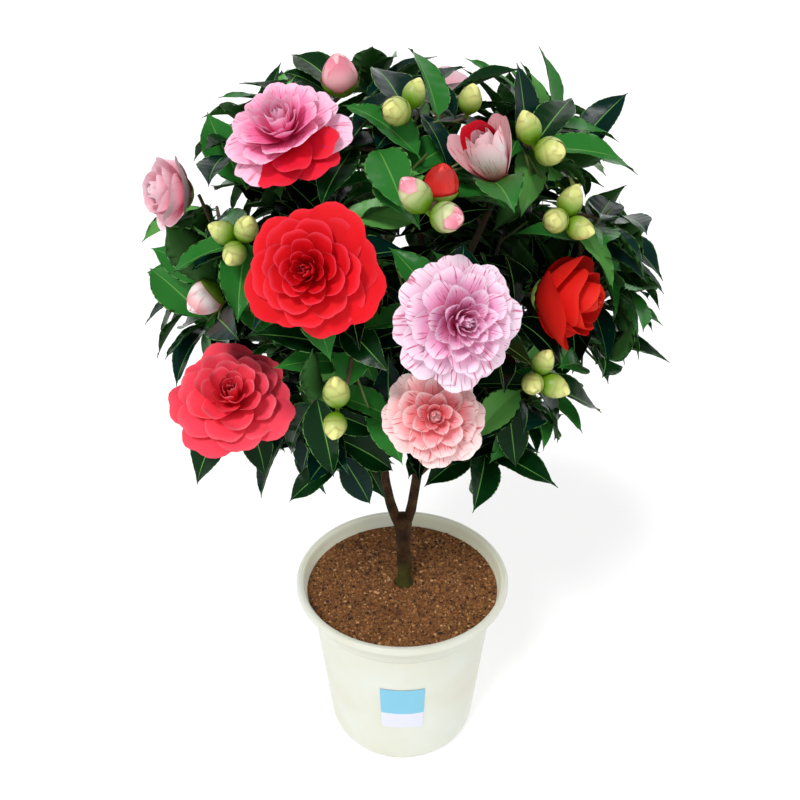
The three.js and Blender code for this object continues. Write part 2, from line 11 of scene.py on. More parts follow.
import bpy
import numpy as np
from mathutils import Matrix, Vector

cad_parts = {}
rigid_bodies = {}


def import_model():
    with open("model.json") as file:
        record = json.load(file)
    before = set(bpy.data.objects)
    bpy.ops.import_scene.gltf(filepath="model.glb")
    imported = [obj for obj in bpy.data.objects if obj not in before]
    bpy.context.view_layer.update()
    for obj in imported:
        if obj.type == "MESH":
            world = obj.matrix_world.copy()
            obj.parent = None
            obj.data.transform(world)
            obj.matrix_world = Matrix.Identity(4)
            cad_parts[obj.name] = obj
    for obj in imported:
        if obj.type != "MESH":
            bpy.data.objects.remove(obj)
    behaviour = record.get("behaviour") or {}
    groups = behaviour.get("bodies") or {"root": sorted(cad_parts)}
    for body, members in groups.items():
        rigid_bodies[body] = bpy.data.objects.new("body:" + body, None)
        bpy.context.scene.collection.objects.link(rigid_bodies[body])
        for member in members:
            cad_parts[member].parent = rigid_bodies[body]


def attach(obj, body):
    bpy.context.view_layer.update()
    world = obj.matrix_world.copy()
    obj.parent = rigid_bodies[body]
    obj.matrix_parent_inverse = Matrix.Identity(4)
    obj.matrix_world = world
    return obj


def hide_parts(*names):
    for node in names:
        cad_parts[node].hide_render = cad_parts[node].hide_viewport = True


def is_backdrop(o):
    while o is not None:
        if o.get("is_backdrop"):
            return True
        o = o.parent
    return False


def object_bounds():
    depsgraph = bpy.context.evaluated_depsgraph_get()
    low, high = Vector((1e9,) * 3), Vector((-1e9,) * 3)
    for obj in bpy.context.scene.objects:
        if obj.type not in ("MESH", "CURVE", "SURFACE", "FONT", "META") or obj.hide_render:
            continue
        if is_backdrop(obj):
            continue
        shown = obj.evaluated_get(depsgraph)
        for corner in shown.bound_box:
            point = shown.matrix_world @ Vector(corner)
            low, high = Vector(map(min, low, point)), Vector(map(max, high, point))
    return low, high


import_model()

cad_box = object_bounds()

MM = 0.001
GOLDEN_ANGLE = math.pi * (3 - math.sqrt(5))
TURN = 2 * math.pi
RULE_TURN = 6.283  # a turn as the part's rule rounds it

# ---- The part's driving dimensions, in millimetres ----
GAP = 0.3
POT_HEIGHT = 220
RIM_RADIUS = 125
BASE_RADIUS = 78
SOIL_TOP = POT_HEIGHT - 15.6
FORK_HEIGHT = 92
TRUNK_RADIUS = 8.2
FLARE_RADIUS = 11.8
FORK_SWELL = 2.2
CROWN_CENTRE = np.array([0, 0, 584.0])
CROWN_REACH = np.array([248, 205, 210.0])
LEAF_LENGTH = 74
LEAF_WIDTH_SHARE = 0.44
BUD_LENGTH = 26
TWIG_RADIUS = 1.9
STEM_RADII = (5.9, 4.4)  # of the two stems, at the fork and at their ends
BOUGH_RADII = (4.2, 3)


# ---- Vectors and seeded draws ----
def unit(a):
    return a / np.linalg.norm(a)


def facing(azimuth, elevation):
    """The way a thing faces: azimuth 0 is towards the viewer and 90 towards +X."""
    a, e = math.radians(azimuth), math.radians(elevation)
    return np.array([math.sin(a) * math.cos(e), -math.cos(a) * math.cos(e), math.sin(e)])


def sides_of(d):
    """Two unit vectors square to d, the first one as level as it can be."""
    across = unit(np.cross((0, 1, 0) if abs(d[2]) > 0.97 else (0, 0, 1), d))
    return across, np.cross(d, across)


def around(sides, turn):
    """The unit vector at a turn about an axis, from the two sides of that axis."""
    return sides[0] * math.cos(turn) + sides[1] * math.sin(turn)


def basis_of(axis):
    """The rows by which points made on +Z are carried onto an axis."""
    return np.array([*sides_of(axis), axis])


def turns_of(sides):
    """The angles of a ring's points."""
    return np.arange(sides) * TURN / sides


def draw(seed, k):
    """A seeded draw from 0 to 1 that depends only on its two whole numbers."""
    mask = 0xFFFFFFFF
    t = (int(seed) * 2654435761 + (k + 1) * 1597334677) & mask
    t = ((t ^ (t >> 15)) * (t | 1)) & mask
    t ^= (t + (((t ^ (t >> 7)) * (t | 61)) & mask)) & mask
    return ((t ^ (t >> 14)) & mask) / 4294967296


def spread_draw(seed, k):
    """A seeded draw from -1 to 1."""
    return 2 * draw(seed, k) - 1


def pick(tone, steps):
    """The choice that belongs to the first step that a tone is above, or 0."""
    return next((choice for above, choice in steps if tone > above), 0)


def smooth(low, high, x):
    t = np.clip((x - low) / (high - low), 0, 1)
    return t * t * (3 - 2 * t)


# ---- Limbs ----
STATIONS = 14


class Limb:
    """A cubic curve with a radius at each share of its length."""

    def __init__(self, name, points, radius_at):
        self.name = name
        self.points = [np.array(p, float) for p in points]
        self.radius_at = radius_at
        shares = [i / STATIONS for i in range(STATIONS + 1)]
        self.stations = np.array([self.point(t) for t in shares])
        self.radii = np.array([radius_at(t) for t in shares])

    def point(self, t):
        row = self.points
        while len(row) > 1:
            row = [a + (b - a) * t for a, b in zip(row, row[1:])]
        return row[0]

    def along(self, t):
        return unit(self.point(min(1, t + 0.01)) - self.point(max(0, t - 0.01)))


def taper(start, end):
    return lambda t: start + (end - start) * t


def trunk_radius(t):
    """The trunk flares in its lowest fifth and widens again towards its fork."""
    flare = (FLARE_RADIUS - TRUNK_RADIUS) * max(0, 1 - t * 5) ** 2
    return TRUNK_RADIUS + flare + FORK_SWELL * t**4


GROUND = SOIL_TOP + GAP
FORK = np.array([0, 0, SOIL_TOP + FORK_HEIGHT])
TRUNK_FOOT = 2  # towards +X from the pot's middle
LEAN = [[TRUNK_FOOT, 0, GROUND - 4], [3, 0, GROUND + 28], [1, 0, GROUND + 60], FORK]
TRUNK = Limb("trunk", LEAN, trunk_radius)
LEFT = [FORK + [-4.5, 0, -6], [-28, -4, 352], [-22, 2, 440], [-56, -12, 560]]
RIGHT = [FORK + [4.5, 0, -6], [24, 4, 350], [12, 2, 440], [52, 14, 566]]
LIMBS = {
    "left": Limb("limb_left", LEFT, taper(*STEM_RADII)),
    "right": Limb("limb_right", RIGHT, taper(*STEM_RADII)),
}

# ---- The masses: three tiers of sites round the crown ----
TIERS = [
    (0.6, 0.42, 0, ["upper_front", "upper_right", "upper_back", "upper_left"]),
    (0.02, 0.62, 0, ["middle_front", "middle_right", "middle_back_right", "middle_back_left", "middle_left"]),
    (-0.54, 0.48, 45, ["lower_front_right", "lower_back_right", "lower_back_left", "lower_front_left"]),
]
BOUGH_STARTS = {
    "lower_front_right": ("right", 0.3),
    "lower_back_right": ("right", 0.38),
    "lower_back_left": ("left", 0.38),
    "lower_front_left": ("left", 0.3),
    "middle_front": ("right", 0.5),
    "middle_right": ("right", 0.58),
    "middle_back_right": ("right", 0.68),
    "middle_back_left": ("left", 0.66),
    "middle_left": ("left", 0.54),
    "upper_front": ("left", 0.8),
    "upper_back": ("right", 0.84),
}
BOUGH_SHARE = 0.62


class Mass:
    """A mass of leaves: its site, its bough and the walls between it and the other masses."""

    def __init__(self, name, site):
        self.name = name
        self.site = site
        self.twigs = []

    def raise_walls(self, others):
        between = np.array([o.site - self.site for o in others if o is not self])
        self.normals = between / np.linalg.norm(between, axis=1)[:, None]
        middles = np.array([(o.site + self.site) / 2 for o in others if o is not self])
        self.offsets = (middles * self.normals).sum(1)

    def depth(self, points):
        """How far the points lie inside this mass's space: the least of all of them."""
        return (self.offsets - np.atleast_2d(points) @ self.normals.T).min()


def make_masses():
    masses = []
    for height, out, turn, names in TIERS:
        for i, name in enumerate(names):
            direction = facing(turn + 360 * i / len(names), 0) * out
            direction[2] = height
            masses.append(Mass(name, CROWN_CENTRE + direction * CROWN_REACH))
    for mass in masses:
        mass.raise_walls(masses)
    return masses


def make_boughs(masses):
    boughs = []
    for mass in masses:
        if mass.name not in BOUGH_STARTS:
            mass.bough = LIMBS["left" if mass.name == "upper_left" else "right"]
            continue
        side, share = BOUGH_STARTS[mass.name]
        foot = LIMBS[side].point(share)
        tip = foot + (mass.site - foot) * BOUGH_SHARE
        span = np.linalg.norm(tip - foot)
        rising = foot + (tip - foot) * 0.35 + [0, 0, 0.08 * span]
        bending = foot + (tip - foot) * 0.7 - [0, 0, 0.06 * span]
        mass.bough = Limb("bough_" + mass.name, [foot, rising, bending, tip], taper(*BOUGH_RADII))
        boughs.append(mass.bough)
    return boughs


MASSES = make_masses()
BOUGHS = make_boughs(MASSES)
WOODY = [TRUNK, LIMBS["left"], LIMBS["right"], *BOUGHS]
WOOD_STATIONS = np.concatenate([limb.stations for limb in WOODY])
WOOD_RADII = np.concatenate([limb.radii for limb in WOODY])


def touches_wood(points, spare):
    apart = np.atleast_2d(points)[:, None] - WOOD_STATIONS[None]
    return bool((np.sqrt((apart**2).sum(2)) - WOOD_RADII < spare).any())


# ---- Blooms and buds ----
OPEN = 1
HALF_OPEN = 0.5
BREAKING = 0.2
SPACE_BEHIND = 0.14  # a bloom's space reaches this share of its width behind its face
SPACE_AHEAD = 0.34  # and this share ahead of it, or its whole width until it is open


class Bloom:
    """A bloom's face: its middle, the way it faces, its width, how far open it is and its colour."""

    def __init__(self, at, faces, across, stage, colour):
        self.at = np.array(at, float)
        self.axis = facing(*faces)
        self.across = across
        self.stage = stage
        self.colour = colour

    def holds(self, points, spare):
        """True if any of the points lies in the short round space that the bloom fills."""
        d = np.atleast_2d(points) - self.at
        height = d @ self.axis
        out = np.sqrt(np.maximum(0, (d**2).sum(1) - height**2))
        ahead = SPACE_AHEAD * self.across if self.stage == OPEN else self.across
        along = (height > -SPACE_BEHIND * self.across - spare) & (height < ahead)
        return bool((along & (out < self.across / 2 + spare)).any())


BLOOMS = [
    Bloom([-66, -188, 649], [-10, 20], 106, OPEN, "crimson"),
    Bloom([40, -196, 614], [18, 16], 103, OPEN, "lilac"),
    Bloom([25, -170, 522], [2, 30], 90, OPEN, "salmon"),
    Bloom([-90, -104, 729], [-14, 50], 104, OPEN, "rose"),
    Bloom([-146, -128, 517], [12, 54], 116, OPEN, "coral"),
    Bloom([118, -98, 598], [62, 4], 90, OPEN, "scarlet"),
    Bloom([-188, -48, 673], [-54, 12], 78, OPEN, "blush"),
    Bloom([56, -114, 733], [-46, 56], 58, HALF_OPEN, "striped"),
    Bloom([-52, -44, 772], [-10, 66], 27, BREAKING, "rose"),
    Bloom([-178, -82, 586], [-46, -22], 27, BREAKING, "striped"),
    Bloom([28, -142, 706], [10, 64], 24, BREAKING, "scarlet"),
    Bloom([92, 166, 636], [150, 14], 92, OPEN, "crimson"),
    Bloom([-96, 164, 606], [-150, 10], 88, OPEN, "lilac"),
    Bloom([34, 180, 524], [180, 0], 84, OPEN, "salmon"),
    Bloom([172, 92, 506], [116, 2], 86, OPEN, "coral"),
    Bloom([-200, 72, 556], [-112, 6], 84, OPEN, "crimson"),
    Bloom([40, 128, 724], [162, 38], 84, OPEN, "blush"),
]

# The place of a twig's end, the way it points, its number of closed buds and how pink their tips are.
BUD_TWIGS = [
    ([2, -92, 742], [-6, 60], 2, 0),
    ([50, -66, 736], [14, 58], 1, 0),
    ([102, -94, 716], [10, 52], 2, 0.3),
    ([18, -178, 686], [4, 44], 2, 1),
    ([126, -102, 662], [24, 34], 3, 0),
    ([-127, -118, 650], [-26, 30], 3, 0),
    ([111, -126, 536], [34, 22], 3, 0),
    ([-52, -176, 532], [-4, 26], 2, 0),
    ([66, 158, 566], [158, 16], 2, 0),
    ([-150, 112, 672], [-128, 34], 3, 0),
    ([-24, 182, 652], [176, 24], 2, 1),
    ([156, 96, 654], [122, 30], 3, 0),
    ([-84, 148, 480], [-150, -8], 2, 0),
]
LONG_SHOOTS = [
    ([34, 8, 738], [-30, 74]),
    ([146, -14, 694], [62, 30]),
    ([190, -6, 606], [84, -4]),
    ([172, -34, 528], [72, -34]),
    ([-194, -22, 574], [-84, -4]),
    ([-128, 4, 706], [-58, 42]),
    ([76, -104, 446], [26, -52]),
    ([-56, -108, 444], [-16, -54]),
    ([-112, -60, 446], [-60, -40]),
    ([-8, 96, 736], [170, 58]),
    ([60, 110, 446], [150, -50]),
    ([-40, 176, 560], [178, 6]),
]

# ---- The growing rule ----
SHELL_SHOOTS, SHELL_SHARE = 92, 0.76  # a shell of the crown, as a share of its reach
INNER_SHOOTS, INNER_SHARE = 26, 0.46
# The angle in degrees from a shoot to its leaves, by what it bears, and on the other shoots.
BLOOM_SPREAD, CLOSED_SPREAD, BUD_SPREAD = 88, 62, 70
LONG_SPREAD, SHOOT_SPREAD, FINER_SPREAD = 46, 58, 56
SHOOT_SPACING = 30
NAMED_SPACING = 46
LEAF_TRIES = 8
LEAF_STEP = 6.5
CELL_MARGIN = 1.2
BEHIND_BLOOM = 14
WOOD_ROOM, LEAF_ROOM, BLOOM_ROOM = 4, 2, 3  # a twig and a leaf from wood, and either from a bloom
TWIG_ROOM = 2.5  # a twig from the walls of its mass's space
SHOOT_ROOM = 8  # a shoot's end from a bloom that isn't its own
SHOOT_LEAVES = 6  # on a shoot of the part's rule
SIDE_TWIGS = 3  # finer twigs on each of its twigs
SIDE_LENGTH = 34
FINER_REACH = 0.88  # their ends' reach, as a share of the crown's
FINER_SEED = 1000  # seeds from here on are those of finer twigs
SIDE_LEAVES = 4
TAKEN_CELL = 4.5  # the side of a cell that only one leaf, bud or bloom may pass through
TAKEN_LIMIT = 4  # but for this many, where two of them brush past each other


class Shoot:
    """The end of a twig, which bears leaves and may bear a bloom or buds."""

    def __init__(self, at, axis, spread, bloom=None, buds=0, pink=0):
        self.at = np.array(at, float)
        self.axis = axis
        self.spread = spread
        self.bloom = bloom
        self.buds = buds
        self.pink = pink
        self.path = None
        self.parent = None


def named_shoots():
    """The shoots that are placed by name: those with blooms, those with buds and the long ones."""
    shoots = []
    for b in BLOOMS:
        back, spread = (BEHIND_BLOOM, BLOOM_SPREAD) if b.stage == OPEN else (b.across * 0.9, CLOSED_SPREAD)
        shoots.append(Shoot(b.at - b.axis * back, b.axis, spread, bloom=b))
    for at, faces, buds, pink in BUD_TWIGS:
        shoots.append(Shoot(at, facing(*faces), BUD_SPREAD, buds=buds, pink=pink))
    for at, faces in LONG_SHOOTS:
        shoots.append(Shoot(at, facing(*faces), LONG_SPREAD))
    return shoots


def make_shoots():
    """The named shoots, and between them those of two shells, spaced by the golden angle."""
    shoots = named_shoots()
    named = len(shoots)
    for count, share in [(SHELL_SHOOTS, SHELL_SHARE), (INNER_SHOOTS, INNER_SHARE)]:
        for i in range(count):
            z = 1 - (2 * i + 1) / count
            ring = math.sqrt(1 - z * z)
            direction = np.array([ring * math.cos(GOLDEN_ANGLE * i), ring * math.sin(GOLDEN_ANGLE * i), z])
            reach = share + 0.1 * (draw(round(1000 * share) + i, 0) - 0.5)
            at = CROWN_CENTRE + direction * CROWN_REACH * reach
            spacing = [NAMED_SPACING if k < named else SHOOT_SPACING for k in range(len(shoots))]
            if any(np.linalg.norm(s.at - at) < room for s, room in zip(shoots, spacing)):
                continue
            if any(b.holds(at, SHOOT_ROOM) for b in BLOOMS):
                continue
            shoots.append(Shoot(at, unit(direction + [0, 0, 0.35]), SHOOT_SPREAD))
    for i, s in enumerate(shoots):
        s.seed = i + 1
        s.mass = min(MASSES, key=lambda mass: np.linalg.norm(s.at - mass.site))
    return shoots


def twig_is_free(mass, checks, own=None):
    """True if a twig stays in its mass's space, clear of wood and of every bloom but its own."""
    if touches_wood(checks, WOOD_ROOM) or mass.depth(checks) < TWIG_ROOM:
        return False
    return not any(b is not own and b.holds(checks, BLOOM_ROOM) for b in BLOOMS)


def grow_twigs(mass, shoots):
    """Joins a mass's shoots to its stem: each springs from the nearest point of the twigs that are there."""
    start = mass.bough.points[3] + mass.bough.along(1) * GAP
    bend = start + mass.bough.along(1) * 12
    mass.stem = [start, bend, mass.site]
    nodes = [(bend + (mass.site - bend) * 0.4, 0, None), (mass.site, 20, None)]
    mine = [s for s in shoots if s.mass is mass and mass.depth(s.at) > TWIG_ROOM]
    for s in sorted(mine, key=lambda s: np.linalg.norm(s.at - mass.site)):
        foot, run, s.parent = min(nodes, key=lambda n: np.linalg.norm(s.at - n[0]) + 0.3 * n[1])
        span = np.linalg.norm(s.at - foot)
        if span < 12:
            continue
        u, v = sides_of(unit(s.at - foot))
        bow = 0.07 * span
        bend = (foot + s.at) / 2 + u * bow * spread_draw(s.seed, 11) + v * bow * spread_draw(s.seed, 12)
        checks = np.array([bend, (bend + s.at) / 2, foot + (bend - foot) * 0.7, s.at])
        if not twig_is_free(mass, checks, s.bloom):
            continue
        s.path = [foot, bend, s.at]
        mass.twigs.append(s)
        nodes += [(bend, run + span / 2, s), (s.at, run + span, s)]


def woody_shoots(mass):
    """A mass's stem and the outer half of its bough, as shoots that bear finer twigs of their own."""
    bough = [mass.bough.point(t) for t in (0.4, 0.7, 1)]
    for seed, path in [(200, mass.stem), (220, bough), (240, bough)]:
        shoot = Shoot(path[2], unit(path[2] - path[0]), SHOOT_SPREAD)
        shoot.seed, shoot.mass, shoot.path = seed + MASSES.index(mass), mass, path
        yield shoot


def side_shoots(shoot):
    """The finer twigs that spring from a shoot's twig and stay within the crown's reach."""
    start, bend, end = shoot.path
    for j in range(SIDE_TWIGS):
        seed = FINER_SEED + 10 * shoot.seed + j
        share = (j + 0.6 + 0.5 * draw(seed, 3)) / (SIDE_TWIGS + 0.6)
        foot = start + (bend - start) * 2 * share if share < 0.5 else bend + (end - bend) * (2 * share - 1)
        along = unit(end - start)
        level = around(sides_of(along), GOLDEN_ANGLE * j + TURN * draw(seed, 0))
        outward = unit((foot - CROWN_CENTRE) / CROWN_REACH)
        axis = unit(0.4 * along + 0.75 * level + 0.35 * outward)
        tip = foot + axis * SIDE_LENGTH * (0.7 + 0.6 * draw(seed, 1))
        checks = np.array([(foot + tip) / 2, foot + (tip - foot) * 0.75, tip])
        if not (twig_is_free(shoot.mass, checks) and in_crown(tip, FINER_REACH)):
            continue
        side = Shoot(tip, unit(axis + 0.5 * outward + [0, 0, 0.2]), FINER_SPREAD)
        side.seed, side.mass, side.parent = seed, shoot.mass, shoot
        side.path = [foot, (foot + tip) / 2, tip]
        yield side


def in_crown(points, share):
    """True if all of the points lie within a share of the crown's reach."""
    d = (np.atleast_2d(points) - CROWN_CENTRE) / CROWN_REACH
    return bool((np.linalg.norm(d, axis=1) < share).all())


def depth_of(point):
    """How deep a point lies in the crown: 0 at its outline and 1 at its centre."""
    return 1 - np.linalg.norm((point - CROWN_CENTRE) / CROWN_REACH)


class Leaf:
    """A leaf's foot on its twig, the way it runs, its upper side and its length."""

    def __init__(self, foot, along, upper, length, seed):
        self.foot, self.along, self.upper, self.length, self.seed = foot, along, upper, length, seed
        self.side = np.cross(upper, along)

    def corners(self):
        """The left and right edges, the tip, and the middles between them."""
        half = self.side * self.length * LEAF_WIDTH_SHARE / 2
        widest = self.foot + self.along * 0.44 * self.length + self.upper * 0.06 * self.length
        left, right = widest + half, widest - half
        tip = self.foot + self.along * self.length - self.upper * 0.1 * self.length
        return np.array([left, right, tip, (self.foot + tip) / 2, (left + tip) / 2, (right + tip) / 2])


class Taken:
    """The small cells of the crown that leaves, buds and blooms pass through."""

    def __init__(self):
        self.cells = set()

    @staticmethod
    def cells_of(points):
        at = np.floor(points / TAKEN_CELL).astype(int) + 512
        return np.unique((at[:, 0] * 1024 + at[:, 1]) * 1024 + at[:, 2]).tolist()

    def add(self, points):
        self.cells.update(self.cells_of(points))

    def meets(self, points):
        return sum(cell in self.cells for cell in self.cells_of(points)) > TAKEN_LIMIT


TAKEN = Taken()


def point_behind(path, distance):
    """The point at a distance back from a twig's end, or None past its foot."""
    start, bend, end = path
    for a, b in [(end, bend), (bend, start)]:
        run = np.linalg.norm(b - a)
        if distance <= run:
            return a + (b - a) * distance / run
        distance -= run
    return None


def leaf_of(shoot, k):
    """The k-th leaf of a shoot, turned until it is clear of what stands there, or None."""
    foot = point_behind(shoot.path, 1 + LEAF_STEP * k)
    if foot is None:
        return None
    sides = sides_of(shoot.axis)
    length = LEAF_LENGTH * (0.84 + 0.3 * draw(shoot.seed, 20 + k))
    for attempt in range(LEAF_TRIES):
        turn = GOLDEN_ANGLE * k + RULE_TURN * draw(shoot.seed, 1) + 0.7 * attempt
        tilt = math.radians(shoot.spread + 5 * (k + attempt) + 18 * (draw(shoot.seed, 40 + k) - 0.5))
        along = unit(shoot.axis * math.cos(tilt) + around(sides, turn) * math.sin(tilt))
        up = 0.5 * shoot.axis + [0, 0, 0.8]
        upper = unit(up - along * (up @ along))
        leaf = Leaf(foot, along, upper, length, 100 * shoot.seed + k)
        checks = leaf.corners()
        if shoot.mass.depth(checks) < CELL_MARGIN or touches_wood(checks, LEAF_ROOM):
            continue
        if any(b.holds(checks, BLOOM_ROOM) for b in BLOOMS):
            continue
        if shoot.seed >= FINER_SEED and not in_crown(checks, 1):
            continue
        blade = SAMPLES.surface(leaf, SAMPLE_COLUMNS)[SAMPLES_FROM:]
        if TAKEN.meets(blade):
            continue
        TAKEN.add(blade)
        leaf.shoot = shoot
        return leaf
    return None


# ---- Meshes gathered into pieces ----
def new_object(name, data):
    made = bpy.data.objects.new(name, data)
    bpy.context.scene.collection.objects.link(made)
    return made


class Heap:
    """Shapes gathered into one mesh: points in millimetres, faces, and a slot for each face."""

    def __init__(self):
        self.points, self.faces, self.slots, self.tints, self.maps = [], [], [], [], []
        self.count = 0

    def add(self, points, faces, slots, tints=None, maps=None):
        self.points.append(points)
        self.faces += (np.asarray(faces) + self.count).tolist()
        self.slots.append(np.broadcast_to(slots, len(faces)))
        if tints is not None:
            self.tints.append(tints)
            self.maps.append(maps)
        self.count += len(points)

    def close(self, ring, middle, sign):
        """Closes a ring of the mesh's points with a fan of faces round a middle point."""
        self.points.append(middle[None])
        self.faces += [[int(a), int(b), self.count][::sign] for a, b in zip(np.roll(ring, -1), ring)]
        self.slots.append(np.zeros(len(ring), int))
        self.count += 1

    def piece(self, name, materials, slot, *nodes, smooth_faces=True):
        """Makes the piece, riding on the part, in place of the CAD nodes named."""
        mesh = bpy.data.meshes.new(name)
        mesh.from_pydata(np.concatenate(self.points) * MM, [], self.faces)
        mesh.polygons.foreach_set("material_index", np.concatenate(self.slots).astype(np.int32))
        mesh.polygons.foreach_set("use_smooth", [smooth_faces] * len(self.faces))
        if self.tints:
            self.colour_mesh(mesh)
        for material in materials:
            mesh.materials.append(material)
        mesh.update()
        made = new_object(name, mesh)
        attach(made, "root")
        if nodes:
            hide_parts(*nodes)

    def colour_mesh(self, mesh):
        tints = np.concatenate(self.tints)
        tint = mesh.color_attributes.new("tint", "FLOAT_COLOR", "POINT")
        tint.data.foreach_set("color", np.c_[tints, np.ones(len(tints))].ravel())
        corner_points = np.empty(len(mesh.loops), np.int32)
        mesh.loops.foreach_get("vertex_index", corner_points)
        along = mesh.uv_layers.new(name="along")
        along.data.foreach_set("uv", np.concatenate(self.maps)[corner_points].ravel())


def grid_faces(rows, columns, closed=False):
    """Four-sided faces of a grid of points, row by row; a closed one joins its last column to its first."""
    width = columns if closed else columns - 1
    r, c = np.meshgrid(np.arange(rows - 1), np.arange(width), indexing="ij")
    a = r * columns + c
    b = r * columns + (c + 1) % columns
    return np.stack([a, b, b + columns, a + columns], axis=-1).reshape(-1, 4)


def tube(points, radii, sides):
    """A tube through a row of points. Its rings all stay turned alike."""
    points = np.asarray(points, float)
    last = len(points) - 1
    level, _ = sides_of(unit(points[last] - points[0]))
    turns = turns_of(sides)
    rings = []
    for i, p in enumerate(points):
        way = unit(points[min(i + 1, last)] - points[max(i - 1, 0)])
        across = unit(level - way * (level @ way))
        ring = np.outer(np.cos(turns), across) + np.outer(np.sin(turns), np.cross(way, across))
        rings.append(p + ring * radii[i])
    return np.concatenate(rings), grid_faces(last + 1, sides, closed=True)


# ---- Materials ----
def srgb(*levels):
    """A colour given in 0 to 255 display levels, as linear light."""
    return tuple(((v / 255 + 0.055) / 1.055) ** 2.4 if v > 10 else v / 255 / 12.92 for v in levels)


def new_material(name, colour, roughness, bump=None, mottle=None, **sockets):
    """A material, with the arguments of add_bump and of add_mottle where it has either."""
    material = bpy.data.materials.new(name)
    material.use_nodes = True
    shader = material.node_tree.nodes["Principled BSDF"]
    shader.inputs["Base Color"].default_value = (*colour, 1)
    shader.inputs["Roughness"].default_value = roughness
    for socket, value in sockets.items():
        shader.inputs[socket.replace("_", " ")].default_value = value
    if bump:
        add_bump(material, *bump)
    if mottle:
        add_mottle(material, *mottle)
    return material


class Wiring:
    """The nodes of a material, made and joined by their names."""

    def __init__(self, material):
        self.tree = material.node_tree
        self.shader = self.tree.nodes["Principled BSDF"]

    def node(self, kind, **sockets):
        made = self.tree.nodes.new("ShaderNode" + kind)
        for socket, value in sockets.items():
            made.inputs[socket].default_value = value
        return made

    def join(self, source, output, target, socket):
        self.tree.links.new(source.outputs[output], target.inputs[socket])

    def noise(self, scale, detail):
        noise = self.node("TexNoise", Scale=scale, Detail=detail)
        self.join(self.node("TexCoord"), "Object", noise, "Vector")
        return noise

    def tint(self):
        """The colours that the mesh itself carries."""
        tint = self.node("VertexColor")
        tint.layer_name = "tint"
        return tint


def add_bump(material, scale, strength, depth_mm, detail=3):
    """A fine relief over the whole surface."""
    wiring = Wiring(material)
    bump = wiring.node("Bump", Strength=strength, Distance=depth_mm * MM)
    wiring.join(wiring.noise(scale, detail), "Fac", bump, "Height")
    wiring.join(bump, "Normal", wiring.shader, "Normal")


def add_mottle(material, colours, scale):
    """A colour that drifts between a few, from place to place."""
    wiring = Wiring(material)
    ramp = wiring.node("ValToRGB")
    stops = ramp.color_ramp.elements
    stops[0].position = 0.3
    stops[1].position = 0.7
    for i in range(1, len(colours) - 1):
        stops.new(0.3 + 0.4 * i / (len(colours) - 1))
    for stop, colour in zip(stops, colours):
        stop.color = (*colour, 1)
    wiring.join(wiring.noise(scale, 4), "Fac", ramp, "Fac")
    wiring.join(ramp, "Color", wiring.shader, "Base Color")


def leaf_materials():
    # The third green, a deep teal, is partly the leaves' own blue-green and partly a painted bluish sheen of
    # reflected sky.
    greens = [srgb(7, 43, 14), srgb(42, 112, 42), srgb(4, 38, 31), srgb(96, 162, 78), srgb(2, 14, 6)]
    gloss = {"IOR": 1.3, "Specular_IOR_Level": 0.25}
    fine = (900, 0.25, 0.4)
    blades = [new_material(f"leaf_green_{i}", green, 0.23, fine, **gloss) for i, green in enumerate(greens)]
    rib = new_material("leaf_rib", srgb(92, 148, 66), 0.4, **gloss)
    margin = new_material("leaf_margin", srgb(104, 152, 80), 0.4, **gloss)
    under = new_material("leaf_underside", srgb(46, 88, 38), 0.7, **gloss)
    return [*blades, rib, margin, under]


# ---- Leaves ----
LEAF_COLUMNS = np.array([-1, -0.955, -0.5, -0.035, 0.035, 0.5, 0.955, 1])
UNDER_COLUMNS = np.array([-0.5, 0, 0.5])
BLADES = 5
# The last green, near black, is painted shade for the leaves that lie deep in the crown.
PAINTED_SHADE_BLADE = 4
BLADE_STEPS = [(0.72, 3), (0.46, 1), (0.32, 2)]  # the tone above which a leaf has each of the other greens
RIB, MARGIN, UNDER = BLADES, BLADES + 1, BLADES + 2
PETIOLE = 0.07  # the stalk's share of a leaf's length


